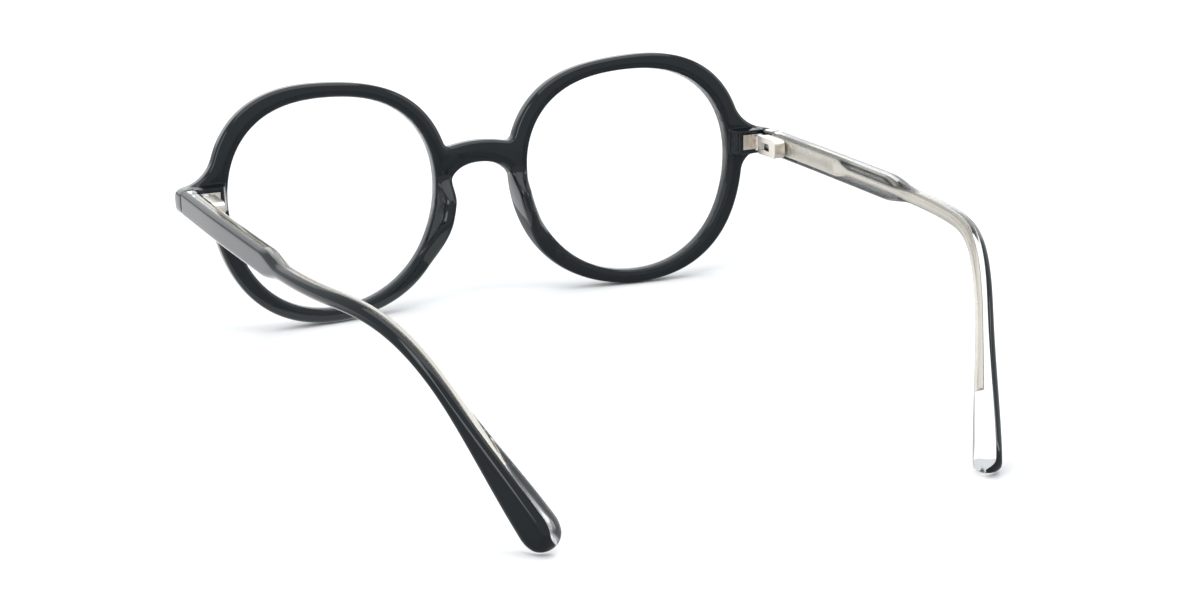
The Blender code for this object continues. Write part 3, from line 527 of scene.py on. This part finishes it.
def front_mesh(sizes):
    """The whole front as two height fields over one triangulated plane, joined by walls.

    The rear face is the swept plane, raised to the joint face on the end block and by the pads, and
    lowered by the pocket, the crown and the rounded edges. The front face is parallel to the plane
    and rounded the same way. The half is mirrored across x = 0.
    """
    flat, edges, line = front_points(sizes)
    found = delaunay_2d_cdt([Vector(p) for p in flat], edges.tolist(), [], 0, 1e-6)
    flat = np.array([tuple(p) for p in found[0]])
    flat[np.abs(flat[:, 0]) < 1e-5, 0] = 0
    triangles = np.array(found[2])
    centre = flat[triangles].mean(axis=1)
    keep = in_outline(centre, line) & (beyond_lens(centre) > -1e-3)
    triangles = triangles[keep]
    used, triangles = np.unique(triangles, return_inverse=True)
    flat, triangles = flat[used], triangles.reshape(-1, 3)

    outer, where = distance_to_line(flat, line)
    x, v = flat[:, 0], flat[:, 1]
    inner = np.clip(beyond_lens(flat), 0, None)
    radius = np.interp(where, np.linspace(0, 1, len(line)), local_round(line, sizes))
    near = np.clip(np.minimum(outer, inner * CROWN_INNER) / CROWN_WIDTH, 0, 1)
    fall = rounding(inner, sizes.inner_round / MM) + sizes.crown / MM * (1 - near) ** 2
    share = block_share(flat, sizes.temple_height / MM)
    joint_face = JOINT_DEPTH + (v - JOINT_RISE) * math.tan(PANTOSCOPIC)
    rear = swept(x) * (1 - share) + joint_face * share + pad_height(flat, sizes.pad_height / MM)
    rear -= rounding(outer, radius) + fall
    rear[inside_box(flat, plate_outline(PLATE_CLEARANCE - POCKET_EDGE / 2))] -= POCKET_DEPTH
    front = swept(x) - FRONT_THICKNESS + rounding(outer, np.minimum(radius, sizes.edge_round / MM)) + fall

    count = len(flat)
    points = np.vstack([np.stack([x, rear, v], axis=-1), np.stack([x, front, v], axis=-1)])
    ends = np.concatenate([triangles[:, [0, 1]], triangles[:, [1, 2]], triangles[:, [2, 0]]])
    _, index, times = np.unique(np.sort(ends, axis=1), axis=0, return_index=True, return_counts=True)
    rim = ends[index[times == 1]]
    rim = rim[~((x[rim[:, 0]] < 1e-5) & (x[rim[:, 1]] < 1e-5))]
    walls = np.stack([rim[:, 1], rim[:, 0], rim[:, 0] + count, rim[:, 1] + count], axis=-1)
    faces = [*triangles.tolist(), *(triangles[:, ::-1] + count).tolist(), *walls.tolist()]
    twin = [[i + 2 * count for i in face[::-1]] for face in faces]
    return from_front(np.vstack([points, points * (-1, 1, 1)])), faces + twin


# ---------------------------------------------------------------- lenses


def lens_mesh(sizes, side):
    """A meniscus with a flat edge that the rim holds.

    Both faces stand forward by the dome less its share of the squared distance from the middle.
    """
    turn = np.linspace(0, 2 * math.pi, 180, endpoint=False)
    middle, half = -FRONT_THICKNESS / 2, sizes.lens_thickness / MM / 2
    shares = np.concatenate([[0.004], np.linspace(0.05, 1, 24)])
    reach = lens_radius(turn) + LENS_OVERLAP

    def face(share, lift):
        flat = around_lens(reach * share, turn)
        depth = middle + lift - sizes.lens_dome / MM * (1 - share**2)
        return np.stack([flat[:, 0], depth + swept(flat[:, 0]), flat[:, 1]], axis=-1)

    rows = [face(s, half) for s in shares] + [face(s, -half) for s in shares[::-1]]
    return mirrored(from_front(np.vstack(rows)), side), tube_faces(len(rows), len(turn))


# ---------------------------------------------------------------- temples


def temple_path(along, sizes):
    """Centre points, and across and up directions, at lengths along the temple.

    The middle line is the running sum of a direction that turns inwards (yaw) and down (pitch) by
    level-ended ramps, and the directions are square to it.
    """
    fine = np.linspace(0, TEMPLE_LENGTH, 1500)
    yaw = TOE_IN[2] * smooth((fine - TOE_IN[0]) / (TOE_IN[1] - TOE_IN[0]))
    yaw += BOW[2] * smooth((fine - BOW[0]) / (BOW[1] - BOW[0]))
    pitch = -EAR[2] * smooth((fine - EAR[0]) / (EAR[1] - EAR[0]))
    heading = np.stack([-np.sin(yaw) * np.cos(pitch), np.cos(yaw) * np.cos(pitch), np.sin(pitch)], axis=1)
    steps = np.diff(fine)[:, None] * (heading[1:] + heading[:-1]) / 2
    start = (HALF_WIDTH - HINGE_X - sizes.temple_thickness / MM / 2, -HINGE_SET, 0)
    line = np.vstack([np.zeros(3), np.cumsum(steps, axis=0)]) + start
    centre = np.stack([np.interp(along, fine, line[:, i]) for i in range(3)], axis=1)
    forward = np.stack([np.interp(along, fine, heading[:, i]) for i in range(3)], axis=1)
    across = np.cross(forward, (0, 0, 1))
    across /= np.linalg.norm(across, axis=1)[:, None]
    up = np.cross(across, forward)
    return centre, across, up / np.linalg.norm(up, axis=1)[:, None]


def temple_size(along, sizes):
    """Height, thickness and corner radius at lengths along the temple.

    Each moves by level-ended ramps from the deep front over the shoulder to the slim part and the
    paddle. The last part ends as a quarter ellipse.
    """
    shoulder = smooth((along - SHOULDER[0]) / (SHOULDER[1] - SHOULDER[0]))
    slim = smooth((along - BOW[0]) / (EAR[1] - BOW[0]))
    tip = smooth((along - TIP_START) / (TEMPLE_LENGTH - TIP_START))
    tall, low, paddle = sizes.temple_height / MM, sizes.slim_height / MM, sizes.tip_height / MM
    height = tall + (low - tall) * shoulder + (paddle - low) * tip
    wide, thin, end = sizes.temple_thickness / MM, sizes.slim_thickness / MM, sizes.tip_thickness / MM
    thick = wide + (thin - wide) * slim + (end - thin) * tip
    corner = CORNER + CORNER_BEHIND * shoulder + CORNER_TIP * tip
    left = np.clip((TEMPLE_LENGTH - along) / TIP_ROUND, 0, 1)
    near = np.clip((TEMPLE_LENGTH - along) / TIP_EDGE, 0, 1)
    return height * np.sqrt(1 - (1 - left) ** 2), thick * np.sqrt(1 - (1 - near) ** 2), corner


def temple_stations():
    """Lengths along the temple: close at the butt's broken edge, and round the tip in even angles."""
    butt = BUTT_GAP + BUTT_BREAK * (1 - np.cos(np.linspace(0, math.pi / 2, 5)))
    tip = TEMPLE_LENGTH - TIP_EDGE * (1 - np.sin(np.linspace(0, math.radians(84), 14)))
    return np.concatenate([butt, np.linspace(0.5, TEMPLE_LENGTH - TIP_EDGE - 0.05, 330), tip])


def layer_mesh(sizes, side, outside, gap):
    """One layer of a temple: a profile carried along the path, flat at the split, rounded outside.

    The whole temple's section is a rectangle with elliptical corners, and the layer is its part on
    one side of the split. outside is 1 for the black layer and -1 for the clear one. gap draws the
    split face back, which leaves a film between the layers that mirrors at a low angle.
    """
    along = temple_stations()
    centre, across, up = temple_path(along, sizes)
    height, thick, corner = temple_size(along, sizes)
    broken = rounding(along - BUTT_GAP, BUTT_BREAK)
    height, face = height - 2 * broken, outside * (thick / 2 - broken)
    split = np.clip(thick / 2 - sizes.outer_layer / MM, -0.3 * thick, 0.3 * thick) + outside * gap
    half = np.abs(face)[:, None]
    wide = np.minimum(corner * 1.1, 0.98 * thick / 2)[:, None]
    tall = np.minimum(corner, 0.96 * height / 2)[:, None]
    first = np.arcsin(np.clip(1 - np.abs(face - split)[:, None] / wide, 0, 1))
    turn = first + (math.pi / 2 - first) * np.linspace(0, 1, 14)
    a_corner = outside * (half - wide * (1 - np.sin(turn)))
    a_top = split[:, None] + (a_corner[:, :1] - split[:, None]) * np.linspace(0, 1, 7)[:-1]
    a_edge = np.hstack([a_top, a_corner])
    into = np.clip((np.abs(a_edge) - half + wide) / wide, 0, 1)
    b_edge = height[:, None] / 2 - tall * (1 - np.sqrt(1 - into**2))
    a_side = np.repeat(face[:, None], 3, axis=1)
    b_side = b_edge[:, -1:] * np.array([0.5, 0.0, -0.5])
    a = np.hstack([a_edge, a_side, a_edge[:, ::-1]])
    b = np.hstack([b_edge, b_side, -b_edge[:, ::-1]])
    points = centre[:, None] + a[..., None] * across[:, None] + b[..., None] * up[:, None]
    return mirrored(from_hinge(points.reshape(-1, 3)), side), tube_faces(*a.shape)


def core_mesh(sizes, side):
    """Points and faces of the core, a ribbed plate, a taper and a wire, and its painted shade in the rib
    grooves.

    Its section is a superellipse. The ribs on the plate's inner face are an absolute sine of the
    length along it with a share of the height added, so they lean.
    """
    last = TEMPLE_LENGTH - CORE_MARGIN
    along = np.concatenate(
        [
            np.linspace(CORE_START, PLATE_END, 480),
            np.linspace(PLATE_END + 0.2, TAPER_END, 30),
            np.linspace(TAPER_END + 0.4, last - WIRE_END, 120),
            last - WIRE_END + WIRE_END * np.sin(np.linspace(0.2, 1.5, 6)),
        ]
    )
    centre, across, up = temple_path(along, sizes)
    _, thick, _ = temple_size(along, sizes)
    split = thick / 2 - sizes.outer_layer / MM
    middle = (split - thick / 2) / 2
    taper = smooth((along - PLATE_END) / (TAPER_END - PLATE_END))
    height = PLATE_HEIGHT + (WIRE_HEIGHT - PLATE_HEIGHT) * taper
    height = height * np.sqrt(1 - np.clip((along - last + WIRE_END) / WIRE_END, 0, 0.98) ** 2)
    turn = np.linspace(0, 2 * math.pi, 44, endpoint=False)
    across_share = np.sign(np.cos(turn)) * np.abs(np.cos(turn)) ** 0.35
    up_share = np.sign(np.sin(turn)) * np.abs(np.sin(turn)) ** 0.5
    a = middle[:, None] + CORE_HALF * across_share
    b = height[:, None] / 2 * up_share
    ribs = 1 - 2 * np.abs(np.sin(math.pi * (along[:, None] + RIB_LEAN * b) / RIB_PITCH))
    ribbed = smooth((PLATE_END + 0.5 - along) / 1.5) * smooth((along - RIBS_FROM) / 0.6)
    inner = np.clip(-across_share, 0, 1) ** 4
    a = a + sizes.rib_depth / MM * ribs * ribbed[:, None] * inner
    points = centre[:, None] + a[..., None] * across[:, None] + b[..., None] * up[:, None]
    # Painted shade: how much the metal finish darkens each point, which grows with the depth of its rib
    # groove.
    groove_shade = ((1 + ribs) / 2 * ribbed[:, None] * inner) ** 2
    return mirrored(from_hinge(points.reshape(-1, 3)), side), tube_faces(*a.shape), groove_shade.ravel()


# ---------------------------------------------------------------- finishes


def tree(name):
    """A new material, its main shader, a maker of nodes in its tree and a linker."""
    made = bpy.data.materials.new(name)
    made.use_nodes = True
    nodes, links = made.node_tree.nodes, made.node_tree.links

    def node(kind, **values):
        new = nodes.new(kind)
        for key, value in values.items():
            if key in new.inputs:
                new.inputs[key].default_value = value
            else:
                setattr(new, key, value)
        return new

    return made, nodes["Principled BSDF"], node, links.new


def surface_group():
    """Fine marks: a mask of soft patches, a mask of fine lines and their height, on Object coordinates."""
    group = bpy.data.node_groups.get("fine_marks")
    if group:
        return group
    group = bpy.data.node_groups.new("fine_marks", "ShaderNodeTree")
    face = group.interface
    for name, default in (("Patch Scale", 120.0), ("Line Scale", 900.0), ("Stretch", 6.0)):
        face.new_socket(name=name, in_out="INPUT", socket_type="NodeSocketFloat").default_value = default
    for name in ("Patches", "Lines", "Height"):
        face.new_socket(name=name, in_out="OUTPUT", socket_type="NodeSocketFloat")
    nodes, link = group.nodes, group.links.new
    given, out = nodes.new("NodeGroupInput"), nodes.new("NodeGroupOutput")
    place = nodes.new("ShaderNodeTexCoord")
    patches, lines = nodes.new("ShaderNodeTexNoise"), nodes.new("ShaderNodeTexNoise")
    patches.inputs["Detail"].default_value = 3
    lines.inputs["Detail"].default_value = 6
    scale = nodes.new("ShaderNodeCombineXYZ")
    scale.inputs["X"].default_value = scale.inputs["Z"].default_value = 1
    divide = nodes.new("ShaderNodeMath")
    divide.operation = "DIVIDE"
    divide.inputs[0].default_value = 1
    stretch = nodes.new("ShaderNodeVectorMath")
    stretch.operation = "MULTIPLY"
    link(given.outputs["Stretch"], divide.inputs[1])
    link(divide.outputs[0], scale.inputs["Y"])
    link(place.outputs["Object"], patches.inputs["Vector"])
    link(place.outputs["Object"], stretch.inputs[0])
    link(scale.outputs[0], stretch.inputs[1])
    link(stretch.outputs[0], lines.inputs["Vector"])
    link(given.outputs["Patch Scale"], patches.inputs["Scale"])
    link(given.outputs["Line Scale"], lines.inputs["Scale"])
    total = nodes.new("ShaderNodeMath")
    total.operation = "ADD"
    link(patches.outputs["Fac"], total.inputs[0])
    link(lines.outputs["Fac"], total.inputs[1])
    link(patches.outputs["Fac"], out.inputs["Patches"])
    link(lines.outputs["Fac"], out.inputs["Lines"])
    link(total.outputs[0], out.inputs["Height"])
    return group


def marks(node, patch, line, stretch):
    """The group of fine marks at these scales."""
    made = node("ShaderNodeGroup", node_tree=surface_group())
    for name, value in (("Patch Scale", patch), ("Line Scale", line), ("Stretch", stretch)):
        made.inputs[name].default_value = value
    return made


def ranged(node, link, source, low, high, start=0.3, end=0.7):
    """A mask moved from its own range, which is start to end, to low to high."""
    made = node("ShaderNodeMapRange")
    for name, value in (("From Min", start), ("From Max", end), ("To Min", low), ("To Max", high)):
        made.inputs[name].default_value = value
    link(source, made.inputs["Value"])
    return made.outputs["Result"]


def bumped(node, link, source, strength, distance):
    """A normal raised by a height mask."""
    made = node("ShaderNodeBump", Strength=strength, Distance=distance)
    link(source, made.inputs["Height"])
    return made.outputs["Normal"]


def mottled(node, link, mask, tint, share, power=1.0):
    """A colour that the mask moves from the tint to its power times the share."""
    mix = node("ShaderNodeMix", data_type="RGBA")
    mix.inputs[6].default_value = (*tint, 1)
    mix.inputs[7].default_value = (*(share * t**power for t in tint), 1)
    link(mask, mix.inputs[0])
    return mix.outputs[2]


def acetate_black(tint):
    """Polished black acetate: near-black body with faint depth, fine buffing marks under a clear gloss."""
    made, shader, node, link = tree("black_acetate")
    fine = marks(node, 90, 700, 5)
    link(mottled(node, link, fine.outputs["Patches"], tint, 1.7), shader.inputs["Base Color"])
    link(ranged(node, link, fine.outputs["Lines"], 0.045, 0.085), shader.inputs["Roughness"])
    link(bumped(node, link, fine.outputs["Lines"], 0.02, 0.00002), shader.inputs["Normal"])
    shader.inputs["IOR"].default_value = 1.49
    shader.inputs["Specular IOR Level"].default_value = 0.42
    return made


def clear_plastic(name, tint, ior, roughness, patch):
    """Clear plastic that lets light through to the floor: refraction for sight, transparency for shadow."""
    made, shader, node, link = tree(name)
    fine = marks(node, patch, 600, 4)
    link(mottled(node, link, fine.outputs["Patches"], tint, 1.0, 1.3), shader.inputs["Base Color"])
    link(ranged(node, link, fine.outputs["Lines"], roughness, roughness * 2), shader.inputs["Roughness"])
    shader.inputs["Transmission Weight"].default_value = 1.0
    shader.inputs["IOR"].default_value = ior
    through = node("ShaderNodeBsdfTransparent")
    through.inputs["Color"].default_value = (*(t**1.5 for t in tint), 1)
    path, both = node("ShaderNodeLightPath"), node("ShaderNodeMixShader")
    link(path.outputs["Is Shadow Ray"], both.inputs[0])
    link(shader.outputs[0], both.inputs[1])
    link(through.outputs[0], both.inputs[2])
    link(both.outputs[0], made.node_tree.nodes["Material Output"].inputs["Surface"])
    return made


def satin_metal(name, tint, low, high, patch, stretch):
    """Drawn or milled metal: colour that mottles slightly and is darkened by painted shade in the rib
    grooves, roughness in fine lines, a faint grain.
    """
    made, shader, node, link = tree(name)
    fine = marks(node, patch, 2600, stretch)
    # Painted shade: the attribute darkens the colour to three tenths of the tint at the bottom of the rib
    # grooves.
    groove_shade = node("ShaderNodeAttribute", attribute_name="groove_shade")
    dark = node("ShaderNodeMix", data_type="RGBA")
    dark.inputs[7].default_value = (*(t * 0.3 for t in tint), 1)
    link(groove_shade.outputs["Fac"], dark.inputs[0])
    link(mottled(node, link, fine.outputs["Patches"], tint, 0.92), dark.inputs[6])
    link(dark.outputs[2], shader.inputs["Base Color"])
    link(ranged(node, link, fine.outputs["Lines"], low, high), shader.inputs["Roughness"])
    link(bumped(node, link, fine.outputs["Lines"], 0.015, 0.00003), shader.inputs["Normal"])
    shader.inputs["Metallic"].default_value = 1.0
    return made


def finish(name):
    """The named finish, made once from the scene's colours.

    The frame may bring a plain material of the same name, which is then set aside.
    """
    ready = bpy.data.materials.get(name)
    if ready and ready.get("finished"):
        return ready
    tints = bpy.context.scene.eyeglasses_finishes
    makers = {
        "black_acetate": lambda: acetate_black(tints.black),
        "clear_acetate": lambda: clear_plastic("clear_acetate", tints.clear, 1.48, 0.015, 70),
        "demo_lens": lambda: clear_plastic("demo_lens", tints.lens, 1.49, 0.004, 40),
        "nickel_silver": lambda: satin_metal("nickel_silver", tints.nickel, 0.27, 0.33, 300, 3),
        "spring_steel": lambda: satin_metal("spring_steel", tints.steel, 0.22, 0.4, 600, 2),
    }
    if ready:
        ready.name = name + "_cad"
    made = makers[name]()
    made["finished"] = True
    return made


# ---------------------------------------------------------------- operators


def settle(piece, body, slot, *nodes):
    """Ties a piece to its body, and lets it stand for its CAD nodes. The slot is not used."""
    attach(piece, body)
    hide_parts(*nodes)


class EYEGLASSES_OT_front(bpy.types.Operator):
    """Build the acetate front with its nose pads"""

    bl_idname = "eyeglasses.front"
    bl_label = "Front"

    def execute(self, context):
        points, faces = front_mesh(context.scene.eyeglasses_sizes)
        piece = mesh_piece("front", points, faces, finish("black_acetate"), crease=50)
        settle(piece, "front", "black_acetate", "front_frame", "nose_pad_left", "nose_pad_right")
        return {"FINISHED"}


class EYEGLASSES_OT_lenses(bpy.types.Operator):
    """Build both demonstration lenses"""

    bl_idname = "eyeglasses.lenses"
    bl_label = "Lenses"

    def execute(self, context):
        for name, side in SIDES:
            points, faces = lens_mesh(context.scene.eyeglasses_sizes, side)
            piece = mesh_piece(f"demo_lens_{name}", points, faces, finish("demo_lens"), crease=30)
            settle(piece, "front", "demo_lens", f"lens_{name}")
        return {"FINISHED"}


class EYEGLASSES_OT_temples(bpy.types.Operator):
    """Build the black and clear layers of both temples"""

    bl_idname = "eyeglasses.temples"
    bl_label = "Temples"

    def execute(self, context):
        sizes = context.scene.eyeglasses_sizes
        for name, side in SIDES:
            for layer, outside, gap, slot in (
                ("outer", 1, LAYER_GAP, "black_acetate"),
                ("inner", -1, 0.0, "clear_acetate"),
            ):
                points, faces = layer_mesh(sizes, side, outside, gap)
                piece = mesh_piece(f"temple_{layer}_layer_{name}", points, faces, finish(slot), crease=50)
                settle(piece, f"temple_{name}", slot, f"temple_{layer}_{name}")
        return {"FINISHED"}


class EYEGLASSES_OT_cores(bpy.types.Operator):
    """Build the ribbed core plates and wires inside the clear layers"""

    bl_idname = "eyeglasses.cores"
    bl_label = "Cores"

    def execute(self, context):
        for name, side in SIDES:
            points, faces, groove_shade = core_mesh(context.scene.eyeglasses_sizes, side)
            piece = mesh_piece(f"core_{name}", points, faces, finish("nickel_silver"), 60, groove_shade)
            settle(piece, f"temple_{name}", "nickel_silver", f"core_wire_{name}")
        return {"FINISHED"}


def edge_broken(node, width, slot):
    """A copy of a CAD node with its edges broken by a small bevel."""
    mesh = frame["nodes"][node].data.copy()
    mesh.name = node + "_part"
    bm = bmesh.new()
    bm.from_mesh(mesh)
    bmesh.ops.remove_doubles(bm, verts=bm.verts, dist=1e-7)
    flat = [e for e in bm.edges if len(e.link_faces) == 2 and e.calc_face_angle(0) < math.radians(0.5)]
    bmesh.ops.dissolve_edges(bm, edges=flat, use_verts=True)
    bm.to_mesh(mesh)
    bm.free()
    mesh.materials.clear()
    mesh.materials.append(finish(slot))
    piece = bpy.data.objects.new(mesh.name, mesh)
    bpy.context.scene.collection.objects.link(piece)
    bevel = piece.modifiers.new("broken_edges", "BEVEL")
    bevel.width = width
    bevel.segments = 2
    bevel.limit_method = "ANGLE"
    bevel.angle_limit = math.radians(40)
    mesh.shade_smooth()
    mesh.set_sharp_from_angle(angle=math.radians(35))
    return piece


class EYEGLASSES_OT_hinges(bpy.types.Operator):
    """Finish the hinge plates, screws, sliders, boxes, clips and springs"""

    bl_idname = "eyeglasses.hinges"
    bl_label = "Hinges"

    def execute(self, context):
        width = context.scene.eyeglasses_sizes.edge_break
        parts = (
            ("front_hinge", "front", "nickel_silver"),
            ("hinge_screw", "front", "spring_steel"),
            ("spring_slider", "slider", "nickel_silver"),
            ("spring_box", "temple", "nickel_silver"),
            ("lock_clip", "temple", "spring_steel"),
        )
        for name, _ in SIDES:
            for part, body, slot in parts:
                node = f"{part}_{name}"
                piece = edge_broken(node, width, slot)
                settle(piece, body if body == "front" else f"{body}_{name}", slot, node)
            spring = frame["nodes"][f"hinge_spring_{name}"]
            spring.data.materials.clear()
            spring.data.materials.append(finish("spring_steel"))
        return {"FINISHED"}


class EYEGLASSES_OT_stage(bpy.types.Operator):
    """Build the floor, the soft lights and the camera"""

    bl_idname = "eyeglasses.stage"
    bl_label = "Stage"

    def execute(self, context):
        scene = context.scene
        floor_finish, shader, node, link = tree("floor")
        shader.inputs["Base Color"].default_value = (*scene.eyeglasses_finishes.floor, 1)
        shader.inputs["Roughness"].default_value = 0.9
        shader.inputs["Specular IOR Level"].default_value = 0.0
        ends = (-FLOOR_REACH, FLOOR_REACH)
        corners = [(x, y, -FLOOR_DROP) for x in ends for y in ends]
        floor = mesh_piece("floor", corners, [(0, 2, 3, 1)], floor_finish)
        dim, path = node("ShaderNodeBsdfDiffuse"), node("ShaderNodeLightPath")
        both = node("ShaderNodeMixShader")
        dim.inputs["Color"].default_value = (*FLOOR_REFLECTED, 1)
        reflected = node("ShaderNodeMath", operation="SUBTRACT", use_clamp=True)
        link(path.outputs["Is Glossy Ray"], reflected.inputs[0])
        link(path.outputs["Is Transmission Ray"], reflected.inputs[1])
        link(reflected.outputs[0], both.inputs[0])
        link(shader.outputs[0], both.inputs[1])
        link(dim.outputs[0], both.inputs[2])
        link(both.outputs[0], floor_finish.node_tree.nodes["Material Output"].inputs["Surface"])
        world = bpy.data.worlds.new("studio")
        world.use_nodes = True
        world.node_tree.nodes["Background"].inputs["Color"].default_value = (*STUDIO_COLOUR, 1)
        world.node_tree.nodes["Background"].inputs["Strength"].default_value = STUDIO_STRENGTH
        scene.world = world
        for light in LIGHTS:
            self.area(*light)
        camera = bpy.data.objects.new("camera", bpy.data.cameras.new("camera"))
        camera.data.sensor_width = 36
        camera.data.lens = CAMERA_LENS
        camera.data.clip_start = 0.01
        camera.location = (CAMERA_SIDE, CAMERA_BEHIND + float(FRONT_PLACE[1]) * MM, CAMERA_HEIGHT)
        back = Vector(CAMERA_BACK).normalized()
        camera.rotation_euler = back.to_track_quat("Z", "Y").to_euler()
        scene.collection.objects.link(camera)
        scene.camera = camera
        scene.view_settings.view_transform = "Standard"
        return {"FINISHED"}

    @staticmethod
    def area(name, place, target, size, power):
        """An area light at a place, aimed at a target."""
        light = bpy.data.lights.new(name, "AREA")
        light.shape = "RECTANGLE"
        light.size, light.size_y = size
        light.energy = power
        lamp = bpy.data.objects.new(name, light)
        lamp.visible_camera = lamp.visible_transmission = False
        lamp.location = place
        lamp.rotation_euler = (Vector(place) - Vector(target)).to_track_quat("Z", "Y").to_euler()
        bpy.context.scene.collection.objects.link(lamp)


class EYEGLASSES_PT_panel(bpy.types.Panel):
    """Lists the sizes, the finishes and the build steps"""

    bl_idname = "EYEGLASSES_PT_panel"
    bl_label = "Eyeglasses"
    bl_space_type = "VIEW_3D"
    bl_region_type = "UI"
    bl_category = "Eyeglasses"

    def draw(self, context):
        for group in (context.scene.eyeglasses_sizes, context.scene.eyeglasses_finishes):
            box = self.layout.box()
            for name in group.__annotations__:
                box.prop(group, name)
        for operator in OPERATORS:
            self.layout.operator(operator.bl_idname)


OPERATORS = (
    EYEGLASSES_OT_stage,
    EYEGLASSES_OT_front,
    EYEGLASSES_OT_lenses,
    EYEGLASSES_OT_temples,
    EYEGLASSES_OT_cores,
    EYEGLASSES_OT_hinges,
)
CLASSES = (EyeglassesSizes, EyeglassesFinishes, *OPERATORS, EYEGLASSES_PT_panel)


def register():
    """Register the classes and the scene's settings."""
    for made in CLASSES:
        bpy.utils.register_class(made)
    bpy.types.Scene.eyeglasses_sizes = bpy.props.PointerProperty(type=EyeglassesSizes)
    bpy.types.Scene.eyeglasses_finishes = bpy.props.PointerProperty(type=EyeglassesFinishes)


def unregister():
    """Undo what register did."""
    del bpy.types.Scene.eyeglasses_sizes
    del bpy.types.Scene.eyeglasses_finishes
    for made in reversed(CLASSES):
        bpy.utils.unregister_class(made)


def main():
    register()
    for operator in OPERATORS:
        group, name = operator.bl_idname.split(".")
        getattr(getattr(bpy.ops, group), name)()
    bpy.context.view_layer.update()


if __name__ == "__main__":
    main()
